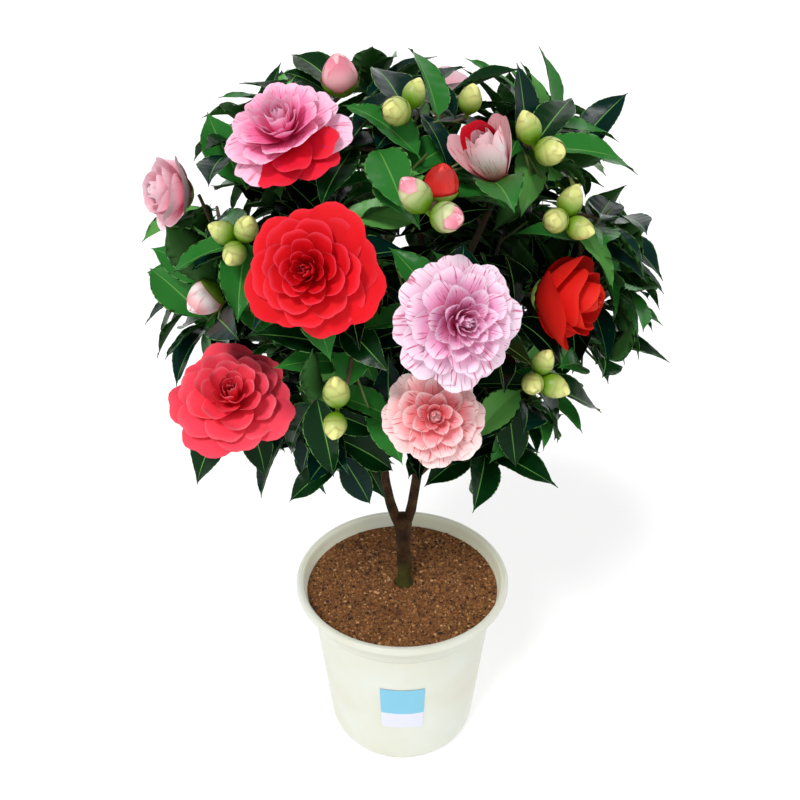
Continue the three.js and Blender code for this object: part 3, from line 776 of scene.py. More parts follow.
class LeafForm:
    """The grid of a leaf, with a toothed margin, at a number of rows."""

    def __init__(self, rows):
        self.s = np.linspace(0, 1, rows)[:, None]
        x = np.clip((self.s - PETIOLE) / (1 - PETIOLE), 0, 1)
        outline = np.sin(math.pi * x**0.82) ** (0.72 + 0.7 * x**3)
        teeth = 1 + 0.013 * np.where(np.arange(rows) % 2, 1, -1)[:, None] * (x > 0.08) * (x < 0.97)
        self.half = np.maximum(outline * teeth * LEAF_WIDTH_SHARE / 2, 0.014 * (1 - 0.8 * self.s))
        width, middle = len(LEAF_COLUMNS), len(UNDER_COLUMNS)
        top = grid_faces(rows, width)
        column = np.tile(np.arange(width - 1), rows - 1)
        at_margin, at_rib = np.isin(column, (0, width - 2)), column == width // 2 - 1
        self.top_slots = np.select([at_margin, at_rib], [MARGIN, RIB], -1)
        r = np.arange(rows)[:, None]
        names = np.hstack([width * r, width * rows + middle * r + np.arange(middle), width * r + width - 1])
        under = names.ravel()[grid_faces(rows, middle + 2)[:, ::-1]]
        self.faces = np.concatenate([top, under])
        self.under_count = len(under)

    def slots(self, blade):
        top = np.where(self.top_slots < 0, blade, self.top_slots)
        return np.concatenate([top, np.full(self.under_count, UNDER)])

    def surface(self, leaf, columns, drop=0.0):
        """A leaf's points, row by row. Each one arches, folds along its rib, twists and bends its own way."""
        seed, s, half, t = leaf.seed, self.s, self.half, columns[None]
        fold = 0.2 + 0.3 * draw(seed, 1)
        wave, phase = 0.012 + 0.012 * draw(seed, 2), TURN * draw(seed, 3)
        swing, twist = 0.07 * spread_draw(seed, 4), 0.5 * spread_draw(seed, 5)
        arch = 0.3221 * s - 0.4221 * s**2 - 0.05 * spread_draw(seed, 6) * s**3
        y = t * half
        z = fold * half * (np.abs(t) ** 1.2 - 0.5) - drop
        z = z + wave * np.sin(TURN * 1.6 * s + phase + 2 * np.sign(t)) * t**2 * (half > 0.03)
        z = z + 0.0022 * np.cos(TURN * 7.5 * (s - 0.3 * np.abs(t))) * (np.abs(t) > 0.2) * (half > 0.05)
        c, n = np.cos(twist * s), np.sin(twist * s)
        local = np.stack([s + 0 * t, y * c - z * n + swing * s**2, y * n + z * c + arch], -1).reshape(-1, 3)
        return leaf.foot + leaf.length * local @ np.array([leaf.along, leaf.side, leaf.upper])

    def points(self, leaf):
        return np.concatenate([self.surface(leaf, LEAF_COLUMNS), self.surface(leaf, UNDER_COLUMNS, 0.007)])


SAMPLES = LeafForm(25)  # the points by which a leaf is kept clear of others, from a fifth of its length on
SAMPLE_COLUMNS = np.linspace(-0.85, 0.85, 7)
SAMPLES_FROM = 5 * len(SAMPLE_COLUMNS)


def blade_of(leaf):
    """The green of a leaf: its spray's own, now and then another, and a near-black green deep in the crown as
    painted shade.
    """
    tone = 0.65 * draw(leaf.seed // 100, 8) + 0.35 * draw(leaf.seed, 9)
    # Deep in the crown a leaf takes the near-black green: painted shade.
    if depth_of(leaf.foot) > 0.24 + 0.18 * tone:
        return PAINTED_SHADE_BLADE
    return pick(tone, BLADE_STEPS)


def make_leaves(mass, leaves, materials):
    """A mass's leaves as one piece, with fewer rows to those that lie deep in the crown."""
    fine, plain = LeafForm(33), LeafForm(13)
    heap = Heap()
    for leaf in leaves:
        blade = blade_of(leaf)
        form = plain if blade == PAINTED_SHADE_BLADE else fine
        heap.add(form.points(leaf), form.faces, form.slots(blade))
    heap.piece("leaves_" + mass.name, materials, "foliage", "mass_" + mass.name)


def make_twigs(mass, shoots, materials):
    """A mass's stem and twigs as one piece, the finer ones green."""
    heap = Heap()
    stem_radii = [0.92 * mass.bough.radius_at(1), 0.8 * mass.bough.radius_at(1), TWIG_RADIUS * 1.2]
    heap.add(*tube(mass.stem, stem_radii, 8), 0)
    for s in shoots:
        fine = s.seed >= FINER_SEED
        thick, thin = (1.3, 0.9) if fine else (TWIG_RADIUS * 1.15, TWIG_RADIUS * 0.8)
        start, bend, end = s.path
        middle = (thick + thin) / 2
        points = [start, (start + bend) / 2, bend, (bend + end) / 2, end]
        heap.add(*tube(points, [thick, middle, middle * 1.15, middle, thin], 6), 1 if fine else 0)
    heap.piece("twigs_" + mass.name, materials, "bark", "mass_" + mass.name)


# ---- Blooms ----
# Colours from a petal's foot, over its middle, to its rim, the rim's partly a painted highlight on curled
# edges; then its streaks and how strong they are.
PALETTES = {
    "crimson": [(196, 6, 20), (224, 12, 26), (255, 92, 120), (170, 0, 20), 0.0],
    "lilac": [(232, 70, 138), (244, 168, 210), (255, 238, 250), (196, 40, 112), 0.8],
    "salmon": [(244, 84, 98), (252, 148, 156), (255, 232, 230), (200, 44, 66), 0.7],
    "rose": [(244, 58, 132), (255, 124, 182), (255, 216, 236), (206, 30, 92), 0.6],
    "coral": [(234, 30, 50), (252, 70, 92), (255, 150, 162), (190, 20, 44), 0.0],
    "scarlet": [(196, 18, 12), (224, 30, 22), (236, 64, 44), (160, 12, 10), 0.0],
    "sport": [(204, 8, 28), (228, 22, 46), (244, 84, 104), (170, 0, 20), 0.0],
    "blush": [(246, 110, 140), (255, 186, 204), (255, 226, 234), (226, 96, 124), 0.2],
    "bud": [(232, 120, 130), (250, 186, 190), (250, 226, 226), (220, 70, 120), 0.0],
    "striped": [(236, 36, 56), (255, 250, 250), (252, 196, 206), (226, 24, 56), 0.8],
}


@dataclass
class Form:
    """How a bloom's petals are made; widths and reaches are shares of its radius."""

    count: int
    narrow: float  # a petal's half width at the heart
    wide: float  # and at the outside
    heart: float = 0.5  # the reach of the petals at the heart
    crowd: float = 1.0  # above 1, more of the petals stay as small as those at the heart
    pointed: float = 0.0  # the share of the petals that end in a point
    close: float = 1.4  # how soon the petals open out, going outwards
    fall: float = -10  # the angle at which the outermost petals end
    pearl: float = 0.0  # the closed pearl at the heart
    light: float = 0.5  # how much paler the heart is: partly its own tint, partly painted light lifting the shade inside the cup
    size: float = 1.0


FORMS = {
    "crimson": Form(48, 0.16, 0.72, heart=0.34, crowd=1.6, close=1.7),
    "lilac": Form(58, 0.15, 0.56, heart=0.4, crowd=1.15, pointed=0.5, close=1.7, light=0.1),
    "salmon": Form(40, 0.2, 0.6, heart=0.42, crowd=1.1, pointed=0.4, close=2.4, pearl=0.13, light=0.2),
    "rose": Form(44, 0.2, 0.6, crowd=1.2, pointed=0.4, close=1.5, light=0.5),
    "coral": Form(42, 0.2, 0.66, heart=0.4, crowd=1.5, pointed=0.1, close=1.7),
    "scarlet": Form(14, 0.6, 1.15, heart=0.85, close=1.0, fall=66, size=1.3),
    "blush": Form(18, 0.45, 1.05, heart=0.7, close=1.1, fall=50, size=1.05),
}
PETAL_ROWS = np.array([0, 0.14, 0.28, 0.42, 0.56, 0.68, 0.78, 0.87, 0.94, 1])
PETAL_COLUMNS = np.linspace(-1, 1, 11)
PETAL_SEED = 10000  # seeds from here on, times a bloom's number, are those of its petals
HALF_OPEN_PETALS = 13
SEPALS = 7
EGG_POWER = 0.62  # how blunt the closed buds and hearts are
BUD_PEAK, HEART_PEAK = 0.8, 1.1  # how low they are widest


def petal_points(radius, share, seed, rise, half, pointed, reach):
    """A petal on the axis +Z, springing from the axis and curving out: its points and how near its rim."""
    u, v = np.meshgrid(PETAL_COLUMNS, PETAL_ROWS)
    bow, power = (0.34, 1.4) if pointed else (0.27, 3.2)
    notch = 0.035 * smooth(0.3, 0.8, share) * np.exp(-((u / 0.2) ** 2)) * v**6
    along = v - bow * v**2 * np.abs(u) ** power - notch
    low, high = np.radians(rise)
    angle = low + (high - low) * along
    length = radius * reach
    out = 0.05 * radius + length * (np.sin(angle) - math.sin(low)) / (high - low)
    height = length * (math.cos(low) - np.cos(angle)) / (high - low)
    width = radius * half * (0.24 + 0.76 * np.sin(math.pi / 2 * np.minimum(1, v / 0.72))) * (1 - 0.1 * v**4)
    ruffle = (0.012 + 0.03 * share) * radius * np.sin(4.2 * u + TURN * draw(seed, 3)) * v**3
    cupped = (0.16 * (1 - share) - 0.07 * share) * radius * u**2 * v
    swing = u * width / (out + 0.16 * radius)
    points = np.stack([out * np.cos(swing), out * np.sin(swing), height + ruffle + cupped], -1)
    rim = np.maximum(np.abs(u) * (0.35 + 0.65 * v), v - 0.02)
    return points.reshape(-1, 3), rim.ravel(), np.stack([u / 2 + 0.5, v], -1).reshape(-1, 2)


def petal_tints(palette, rim, along, share, seed, light):
    """A petal is deepest at its foot and palest along its rim, partly its own paler edge and partly a painted
    highlight where the rim curls to the light; a red one's rim pales near the heart only.

    Of the pale kinds, the heart's petals and the outermost ones are lighter than those between: the outermost
    by their own paler tint, the heart's partly by their own and partly as painted light that lifts the shade
    inside the cup.
    """
    deep, mid, pale = [np.array(srgb(*c)) for c in palette[:3]]
    is_red = palette[4] == 0
    wash = (smooth(0.05, 0.75, along) ** 1.3)[:, None]
    edge = (smooth(0.84 if is_red else 0.64, 1.0, rim) ** 1.5)[:, None]
    tint = deep + (mid - deep) * wash
    if not is_red:
        # The heart's paling is partly painted light that lifts the shade inside the cup; the outermost
        # petals' paling is their own tint.
        lighter = light * (1 - share) ** 2 + 0.6 * smooth(0.45, 1, share)
        tint = tint + (pale - tint) * lighter * smooth(0.2, 0.8, along)[:, None]
    # The pale rim is partly the petal's own edge colour and partly a painted highlight on the curled edges.
    tint = tint + (pale - tint) * (0.8 * (1 - share) + 0.1 if is_red else 0.8) * edge
    return tint * (0.9 + 0.12 * draw(seed, 5))


def spin(points, turn):
    """Turns points about +Z."""
    c, s = math.cos(turn), math.sin(turn)
    return points @ np.array([[c, s, 0], [-s, c, 0], [0, 0, 1]])


def open_petals(bloom, index):
    """The petals of a double bloom, from its heart outwards, each turned by about the golden angle."""
    radius = bloom.across / 2
    form = FORMS[bloom.colour]
    for i in range(form.count):
        share = i / (form.count - 1)
        seed = PETAL_SEED * (index + 1) + i
        upright = (1 - share) ** form.close
        low = 17 + 58 * upright + 5 * spread_draw(seed, 1)
        high = form.fall + (130 - form.fall) * upright + 9 * spread_draw(seed, 2)
        out = share**form.crowd
        half = form.narrow + (form.wide - form.narrow) * out
        size = radius * form.size * (0.94 + 0.06 * draw(seed, 4))
        reach = form.heart + (1 - form.heart) * out
        points, rim, grid = petal_points(size, share, seed, (low, high), half, share < form.pointed, reach)
        foot = 0.2 * (1 - share) * radius - 0.08 * bloom.across
        turn = GOLDEN_ANGLE * i + 0.14 * spread_draw(seed, 8)
        yield points + [0, 0, foot], turn, rim, grid, share, seed


def half_open_petals(bloom, index):
    """The petals of a bloom that is half open: upright, and folded round its heart."""
    radius = bloom.across / 2
    for i in range(HALF_OPEN_PETALS):
        share = i / (HALF_OPEN_PETALS - 1)
        seed = PETAL_SEED * (index + 1) + i
        half, reach = 0.5 + 0.45 * share, 1.7 + 0.25 * share
        rise = (62 - 16 * share, 126 - 40 * share + 6 * spread_draw(seed, 2))
        points, rim, grid = petal_points(radius, share, seed, rise, half, False, reach)
        yield points - [0, 0, 0.88 * bloom.across], GOLDEN_ANGLE * i, rim, grid, share, seed


def petal_material(colour):
    """Petals take their tints from the mesh, with fine streaks that run along each petal."""
    palette = PALETTES[colour]
    material = new_material(
        "petal_" + colour, srgb(*palette[1]), 0.65, Specular_IOR_Level=0.14,
        Subsurface_Weight=0.25 if palette[4] else 0.12, Subsurface_Radius=(0.004, 0.002, 0.002),
    )
    wiring = Wiring(material)
    along = wiring.node("UVMap")
    along.uv_map = "along"
    stretch = wiring.node("Mapping", Scale=(20, 2.2, 1))
    noise = wiring.node("TexNoise", Scale=1, Detail=2)
    ramp = wiring.node("ValToRGB")
    ramp.color_ramp.elements[0].position = 0.57
    ramp.color_ramp.elements[1].position = 0.66
    ramp.color_ramp.elements[1].color = (palette[4],) * 3 + (1,)
    mix = wiring.node("MixRGB", Color2=(*srgb(*palette[3]), 1))
    bump = wiring.node("Bump", Strength=0.25, Distance=0.5 * MM)
    wiring.join(along, "UV", stretch, "Vector")
    wiring.join(stretch, "Vector", noise, "Vector")
    wiring.join(noise, "Fac", ramp, "Fac")
    wiring.join(noise, "Fac", bump, "Height")
    wiring.join(ramp, "Color", mix, "Fac")
    wiring.join(wiring.tint(), "Color", mix, "Color1")
    wiring.join(mix, "Color", wiring.shader, "Base Color")
    wiring.join(bump, "Normal", wiring.shader, "Normal")
    return material


def petal_palette(bloom, share, turn):
    """The rose and the striped bloom are chimeras: their outer petals are red on one side."""
    below_right = math.cos(turn + math.pi / 4)
    if bloom.colour == "rose" and share > 0.72 and below_right > 0.55:
        return PALETTES["sport"]
    if bloom.colour == "striped" and share > 0.4 and below_right < -0.7:
        return PALETTES["sport"]
    return PALETTES[bloom.colour]


def egg(length, across, peak=BUD_PEAK):
    """A closed egg shape on +Z, from its foot at the origin, and each point's share of its height."""
    rows, sides = 11, 14
    up = np.repeat(np.sin(np.linspace(0, math.pi / 2, rows)) ** 1.5, sides)
    turns = np.tile(turns_of(sides), rows)
    radius = across / 2 * np.sin(math.pi * np.clip(up, 0.0005, 0.9995) ** peak) ** EGG_POWER
    points = np.stack([radius * np.cos(turns), radius * np.sin(turns), up * length], -1)
    return points, grid_faces(rows, sides, closed=True), up


def add_heart(heap, bloom, basis):
    """The closed petals at a bloom's heart, as one small egg: a pearl where the form says so."""
    radius = bloom.across / 2
    pearl = FORMS[bloom.colour].pearl if bloom.stage == OPEN else 0
    half = (pearl or 0.09) * radius
    points, faces, up = egg(2.6 * half + 0.2 * radius, 2 * half, peak=HEART_PEAK)
    deep, mid, pale = [np.array(srgb(*c)) for c in PALETTES[bloom.colour][:3]]
    tint = mid + (pale - mid) * up[:, None] if pearl else deep + (mid - deep) * up[:, None]
    foot = [0, 0, -(0.9 if bloom.stage < OPEN else 0.2) * radius]
    heap.add(bloom.at + (points + foot) @ basis, faces, 0, tint, np.c_[0 * up + 0.5, up])


def make_bloom(bloom, index, mass, materials):
    """A bloom's petals and heart as one piece. No leaf may pass through them."""
    heap = Heap()
    faces = grid_faces(len(PETAL_ROWS), len(PETAL_COLUMNS))
    basis = basis_of(bloom.axis)
    petals = open_petals if bloom.stage == OPEN else half_open_petals
    # A half-open bloom's heart is paled as well: painted light in the shade of its cup.
    light = FORMS[bloom.colour].light if bloom.stage == OPEN else 0.3
    for points, turn, rim, grid, share, seed in petals(bloom, index):
        tints = petal_tints(petal_palette(bloom, share, turn), rim, grid[:, 1], share, seed, light)
        streaks = [5 * draw(seed, 6), 50 * draw(seed, 7)]
        heap.add(bloom.at + spin(points, turn) @ basis, faces, 0, tints, grid + streaks)
    add_heart(heap, bloom, basis)
    TAKEN.add(np.concatenate(heap.points))
    name = f"bloom_{bloom.colour}_{index}"
    heap.piece(name, [materials[bloom.colour]], "foliage", "mass_" + mass.name)


# ---- Buds ----
SCALE_GRID = 9  # points along and across a scale
SCALE_RELIEF = (500, 0.3, 0.4)
BUD_STALK = 4.5
BREAKING_ROOM = range(0, 61, 10)  # leaves keep this far clear of a breaking bud, ahead of it and in front
FRONT = facing(14, 20)
SCALE_GREEN, SCALE_CREAM, SCALE_EDGE = (100, 144, 10), (226, 228, 140), (146, 104, 50)


def bud_scale(length, across, turn, rise, lift):
    """A scale that wraps the side of an egg-shaped bud, up to a share of its height."""
    u, v = np.meshgrid(np.linspace(-1, 1, SCALE_GRID), np.linspace(0, 1, SCALE_GRID))
    up = (v - 0.2 * v**2 * np.abs(u) ** 2.2) * rise
    swell = np.sin(math.pi * np.clip(up, 0.02, 0.995) ** BUD_PEAK) ** EGG_POWER
    radius = across / 2 * (swell * (1 + lift) + 0.015 * v**4) + 0.1
    angle = turn + u * 1.2 * (1 - 0.25 * v)
    points = np.stack([radius * np.cos(angle), radius * np.sin(angle), up * length], -1)
    return points.reshape(-1, 3), up.ravel(), (np.abs(u) * v).ravel()


def bud_layers(opened):
    """The layers of a bud from inside out, as whether each is a petal, its rise and its lift."""
    petals, scales, lift = (7, 6, 0.1) if opened > 0.3 else (4, 9, 0.05) if opened else (0, 9, 0.02)
    for i in range(petals):
        yield True, 1 - 0.02 * i, 0.006 * i
    for i in range(scales):
        share = i / (scales - 1)
        yield False, 0.985 - opened - 0.5 * (1 - opened) * share**1.3, lift + 0.06 * share


def add_bud(heap, foot, axis, length, across, seed, opened=0.0, petals=None):
    """A bud: an egg wrapped in overlapping scales. One that opens shows its petals above them.

    Gives the egg's points, about the bud's foot.
    """
    basis = basis_of(axis)
    faces = grid_faces(SCALE_GRID, SCALE_GRID)
    green, cream, brown = [np.array(srgb(*c)) for c in (SCALE_GREEN, SCALE_CREAM, SCALE_EDGE)]
    deep, mid, _, tip = [np.array(srgb(*c)) for c in (petals or PALETTES["bud"])[:4]]
    if petals and opened < 0.3:
        cream = np.array(srgb(232, 228, 182))
    core, core_faces, up = egg(length, 0.97 * across)
    core_tint = green + ((mid if petals else cream) - green) * smooth(0.3, 0.9, up)[:, None]
    heap.add(foot + core @ basis, core_faces, 0, core_tint, np.c_[up, up])
    for i, (is_petal, rise, lift) in enumerate(bud_layers(opened)):
        turn = GOLDEN_ANGLE * i + TURN * draw(seed, 0)
        points, up, edge = bud_scale(length, across, turn, rise, lift)
        along = up / rise
        rim = smooth(0.6 if is_petal else 0.84, 1, np.maximum(edge, along))[:, None]
        low, high, trim = (deep, mid, tip) if is_petal else (green, cream, brown)
        scale_wash = smooth(0.2, 0.95, up) * (0.6 + 0.4 * smooth(0.3, 1, along))
        wash = smooth(0.15, 0.7, along) if is_petal else scale_wash
        tint = low + (high - low) * wash[:, None]
        tint = (tint + (trim - tint) * (0.7 if is_petal else 0.45) * rim) * (0.9 + 0.14 * draw(seed + i, 3))
        heap.add(foot + points @ basis, faces, 0, tint, np.c_[edge, up])
    return core @ basis


def add_closed_bud(heap, shoot, i):
    """The i-th of a twig's closed buds, on its short stalk. Some show a pink tip."""
    lean = 0.1 if shoot.buds == 1 else 1.2
    level = around(sides_of(shoot.axis), TURN * i / shoot.buds + RULE_TURN * draw(shoot.seed, 2))
    axis = unit(shoot.axis + level * lean)
    foot = shoot.at + axis * BUD_STALK
    stalk, faces = tube([shoot.at, foot + axis], [1.5, 2], 6)
    heap.add(stalk, faces, 0, np.tile(srgb(*SCALE_GREEN), (len(stalk), 1)), np.zeros((len(stalk), 2)))
    is_pink = shoot.pink > draw(shoot.seed, 70 + i)
    opened, petals = (0.13, PALETTES["bud"]) if is_pink else (0.0, None)
    length = BUD_LENGTH * (0.88 + 0.24 * draw(shoot.seed, 60 + i))
    add_bud(heap, foot, axis, length, 0.7 * length, 100 * shoot.seed + i, opened, petals)


def add_breaking_bud(heap, shoot):
    """A bud whose petals show, with room kept clear of leaves for it to be seen."""
    across, colour = shoot.bloom.across, shoot.bloom.colour
    petals = PALETTES["bud" if colour == "rose" else colour]
    core = add_bud(heap, shoot.at, shoot.axis, 1.3 * across, 1.05 * across, 100 * shoot.seed, 0.5, petals)
    for ahead in BREAKING_ROOM:
        TAKEN.add(shoot.at + 1.3 * core + shoot.axis * ahead)
        TAKEN.add(shoot.at + 1.3 * core + FRONT * ahead)


def make_buds(mass, shoots, material):
    """A mass's buds as one piece, if it has any."""
    heap = Heap()
    for shoot in shoots:
        for i in range(shoot.buds):
            add_closed_bud(heap, shoot, i)
        if shoot.bloom is not None and shoot.bloom.stage == BREAKING:
            add_breaking_bud(heap, shoot)
    if heap.points:
        TAKEN.add(np.concatenate(heap.points))
        heap.piece("buds_" + mass.name, [material], "foliage", "mass_" + mass.name)


def bud_material():
    material = new_material("bud_scales", srgb(190, 204, 110), 0.42, SCALE_RELIEF)
    wiring = Wiring(material)
    wiring.join(wiring.tint(), "Color", wiring.shader, "Base Color")
    return material


def add_sepals(heap, bloom, index):
    """The green scales behind an open bloom."""
    basis = basis_of(bloom.axis)
    faces = grid_faces(len(PETAL_ROWS), len(PETAL_COLUMNS))
    below = (0.11 if bloom.stage == OPEN else 0.93) * bloom.across
    for i in range(SEPALS):
        seed = 500 + 20 * index + i
        points, _, _ = petal_points(0.21 * bloom.across, 0.4, seed, (4, 50), 0.5, False, 0.9)
        heap.add(bloom.at + (spin(points, GOLDEN_ANGLE * i) - [0, 0, below]) @ basis, faces, 0)


# ---- Growing the crown ----
def grow_leaves():
    """Gives the leaves, those on the main twigs first, and the twigs that bear something."""
    main = [s for mass in MASSES for s in mass.twigs]
    woody = [s for mass in MASSES for s in woody_shoots(mass)]
    finer = [side for s in woody + main for side in side_shoots(s)]
    finest = [side for s in finer for side in side_shoots(s)]
    leaves = []
    for shoots, count in [(main, SHOOT_LEAVES), (finer, SIDE_LEAVES), (finest, SIDE_LEAVES)]:
        grown = [leaf_of(s, k) for k in range(count) for s in shoots]
        leaves += [leaf for leaf in grown if leaf is not None]
    bearing = set()
    for s in [leaf.shoot for leaf in leaves] + [s for s in main if s.buds or s.bloom is not None]:
        while s is not None:
            bearing.add(s.seed)
            s = s.parent
    return leaves, [s for s in main + finer + finest if s.seed in bearing]


def grow_crown():
    """Grows the twigs, then the buds and blooms, and last the leaves, which keep clear of them."""
    shoots = make_shoots()
    leaf_slots = leaf_materials()
    twig_relief = (420, 0.5, 0.6)
    twig_bark = new_material("twig_bark", srgb(84, 66, 46), 0.75, twig_relief)
    twig_green = new_material("twig_green", srgb(84, 104, 46), 0.5, twig_relief)
    petals = {colour: petal_material(colour) for colour in PALETTES}
    scales = bud_material()
    sepals = new_material("sepal_green", srgb(150, 178, 84), 0.5, SCALE_RELIEF)
    behind = Heap()
    for mass in MASSES:
        grow_twigs(mass, shoots)
        make_buds(mass, mass.twigs, scales)
        for s in mass.twigs:
            if s.bloom is None or s.bloom.stage == BREAKING:
                continue
            index = BLOOMS.index(s.bloom)
            make_bloom(s.bloom, index, mass, petals)
            add_sepals(behind, s.bloom, index)
    leaves, twigs = grow_leaves()
    for mass in MASSES:
        make_leaves(mass, [leaf for leaf in leaves if leaf.shoot.mass is mass], leaf_slots)
        make_twigs(mass, [s for s in twigs if s.mass is mass], [twig_bark, twig_green])
    behind.piece("sepals", [sepals], "foliage")


# ---- Bark ----
CROTCH = (3, 5.5, 7.2)  # the heights of the rings that round the trunk's end between its stems
CROTCH_HEIGHT = 8
KNOT_EVERY = 61  # along a limb
RELIEF = 0.8


def limb_rings(limb):
    """The middles and radii of a limb's rings and their shares of its length. The trunk's end is rounded."""
    steps = 40 if limb in (TRUNK, *LIMBS.values()) else 22
    shares = [i / steps for i in range(steps + 1)]
    points = np.array([limb.point(t) for t in shares])
    radii = [limb.radius_at(t) for t in shares]
    if limb is TRUNK:
        points[0][2] = GROUND
        points = np.concatenate([points, [FORK + [0, 0, rise] for rise in CROTCH]])
        radii += [radii[-1] * math.sqrt(1 - (rise / CROTCH_HEIGHT) ** 2) for rise in CROTCH]
        shares += [1] * len(CROTCH)
    return points, radii, shares


def bark_relief(turns, run):
    """How far the bark stands out: long furrows, with a knot now and then along the run of a limb."""
    furrow = 0.3 * np.sin(5 * turns + 0.09 * run) + 0.2 * np.sin(11 * turns - 0.16 * run + 2) - 0.3
    from_knot = (run % KNOT_EVERY) - 30
    knots = 0.7 * np.exp(-((from_knot / 4) ** 2)) * (1 + np.sin(turns + run / KNOT_EVERY))
    return furrow + knots


def make_wood():
    """The trunk, limbs and boughs as one skin, with the long shallow furrows of a camellia's bark."""
    heap = Heap()
    for limb in WOODY:
        points, radii, shares = limb_rings(limb)
        sides = 40 if limb is TRUNK else 28 if limb in LIMBS.values() else 14
        skin, faces = tube(points, radii, sides)
        turns = np.tile(turns_of(sides), len(points))
        run = np.repeat(shares, sides) * np.linalg.norm(points[-1] - points[0])
        thick = np.repeat(radii, sides)
        relief = bark_relief(turns, run) * np.minimum(1, thick / TRUNK_RADIUS) * RELIEF
        out = (skin - np.repeat(points, sides, axis=0)) / thick[:, None]
        heap.add(skin + out * relief[:, None], faces, 0)
        # A known fault: the first fan's middle is counted in too, so the tip's ring starts one point late and
        # ends at the middle of the limb's foot. Two thin faces of the tip's fan run back to there.
        for end, sign in [(0, 1), (len(points) - 1, -1)]:
            ring = np.arange(sides) + end * sides + heap.count - len(skin)
            heap.close(ring, points[end], sign)
    browns = [srgb(18, 10, 5), srgb(54, 32, 14), srgb(72, 56, 26)]
    relief = (260, 0.8, 1.2, 6)
    bark = new_material("bark", srgb(60, 38, 20), 0.85, relief, (browns, 70), Specular_IOR_Level=0.2)
    add_moss(bark)
    heap.piece("bark_skin", [bark], "bark", *[limb.name for limb in WOODY])


def add_moss(bark):
    """A green film on the foot of the trunk that thins out a hand's breadth up."""
    wiring = Wiring(bark)
    height = wiring.node("MapRange")
    height.inputs["From Min"].default_value = (GROUND + 46) * MM
    height.inputs["From Max"].default_value = (GROUND + 6) * MM
    share = wiring.node("Math")
    share.operation = "MULTIPLY"
    mix = wiring.node("MixRGB", Color2=(*srgb(60, 74, 20), 1))
    axes = wiring.node("SeparateXYZ")
    wiring.join(wiring.node("TexCoord"), "Object", axes, "Vector")
    wiring.join(axes, "Z", height, "Value")
    wiring.join(height, "Result", share, 0)
    wiring.join(wiring.noise(110, 3), "Fac", share, 1)
    wiring.tree.links.new(wiring.shader.inputs["Base Color"].links[0].from_socket, mix.inputs["Color1"])
    wiring.join(share, "Value", mix, "Fac")
    wiring.join(mix, "Color", wiring.shader, "Base Color")


# ---- Pot and soil ----
# The radius and height of the pot's foot and wall. The rim's turns are given as how far they lie inside the
# rim's radius and below its top.
POT_WALL = [
    (0, 3.0), (60, 3.0), (72, 2.4), (BASE_RADIUS - 3, 0.4), (BASE_RADIUS, 0), (82, 0.8), (84, 2.5),
    (86.6, 5), (88.5, 8), (90, 12.5), (91, 18), (95, 60), (99, 102), (103, 144),
]
POT_RIM = [
    (17.9, 38), (17.5, 35.2), (15.6, 33.8), (15, 32), (13, 24), (10.6, 17), (8, 12.2), (5.4, 11.3),
    (2.6, 10.6), (0.7, 8.8), (0, 6), (0.5, 3), (2.2, 0.9), (4.4, 0), (6.8, 0.9), (8.6, 3.6), (9.6, 8),
]
BELOW_SOIL = [(RIM_RADIUS - 11.5, SOIL_TOP - 1.2), (RIM_RADIUS - 16.5, POT_HEIGHT - 25)]
INSIDE_ROWS = 4  # the last rows, inside the rim, which take a lighter material as painted light on the shaded inner wall
NOTCHES = 6  # arches cut into the pot's foot
NOTCH_HALF, NOTCH_FLATNESS, NOTCH_LIFT = 9, 0.62, 5.4
NOTCH_PHASE = 0.24  # where the first lies, as a share of the way to the next
FOOT_RADIUS, FOOT_HEIGHT = 86, 9
POT_SIDES = 180


def pot_rows():
    """The pot's rings of points. Those of its foot rise over the notches."""
    turns = turns_of(POT_SIDES)
    from_notch = ((turns / TURN * NOTCHES - NOTCH_PHASE + 0.5) % 1 - 0.5) * TURN / NOTCHES * FOOT_RADIUS
    arch = np.sqrt(np.maximum(0, NOTCH_HALF**2 - from_notch**2)) * NOTCH_FLATNESS
    rim = [(RIM_RADIUS - inside, POT_HEIGHT - below) for inside, below in POT_RIM]
    for r, z in POT_WALL + rim + BELOW_SOIL:
        heights = np.full(POT_SIDES, float(z))
        if z < FOOT_HEIGHT and r > BASE_RADIUS - 5:
            heights = np.maximum(heights, np.minimum(arch, z + NOTCH_LIFT))
        yield np.stack([r * np.cos(turns), r * np.sin(turns), heights], -1)


def make_pot():
    rows = list(pot_rows())
    heap = Heap()
    slots = np.repeat([0] * (len(rows) - 1 - INSIDE_ROWS) + [1] * INSIDE_ROWS, POT_SIDES)
    heap.add(np.concatenate(rows), grid_faces(len(rows), POT_SIDES, closed=True), slots)
    relief = (850, 0.22, 0.35, 2)
    greys, painted_light_creams = [srgb(208, 208, 190), srgb(214, 218, 208)], [srgb(232, 232, 200), srgb(238, 242, 230)]
    shell = new_material("pot_plastic", srgb(211, 213, 200), 0.42, relief, (greys, 14))
    # The inside's lighter creams are painted light on the inner wall, which lies in shade.
    inside = new_material("pot_inside", srgb(236, 236, 214), 0.5, relief, (painted_light_creams, 14))
    heap.piece("pot_shell", [shell, inside], "pot_shell", "pot")


LABEL_FOOT, LABEL_HEIGHT = 70, 67
LABEL_HALF_TURN = 0.25
LABEL_CLEAR = 0.35  # of the pot's wall
WALL_FOOT, WALL_TOP = (91, 18), (RIM_RADIUS - 17.9, POT_HEIGHT - 38)  # the wall's radius and height there


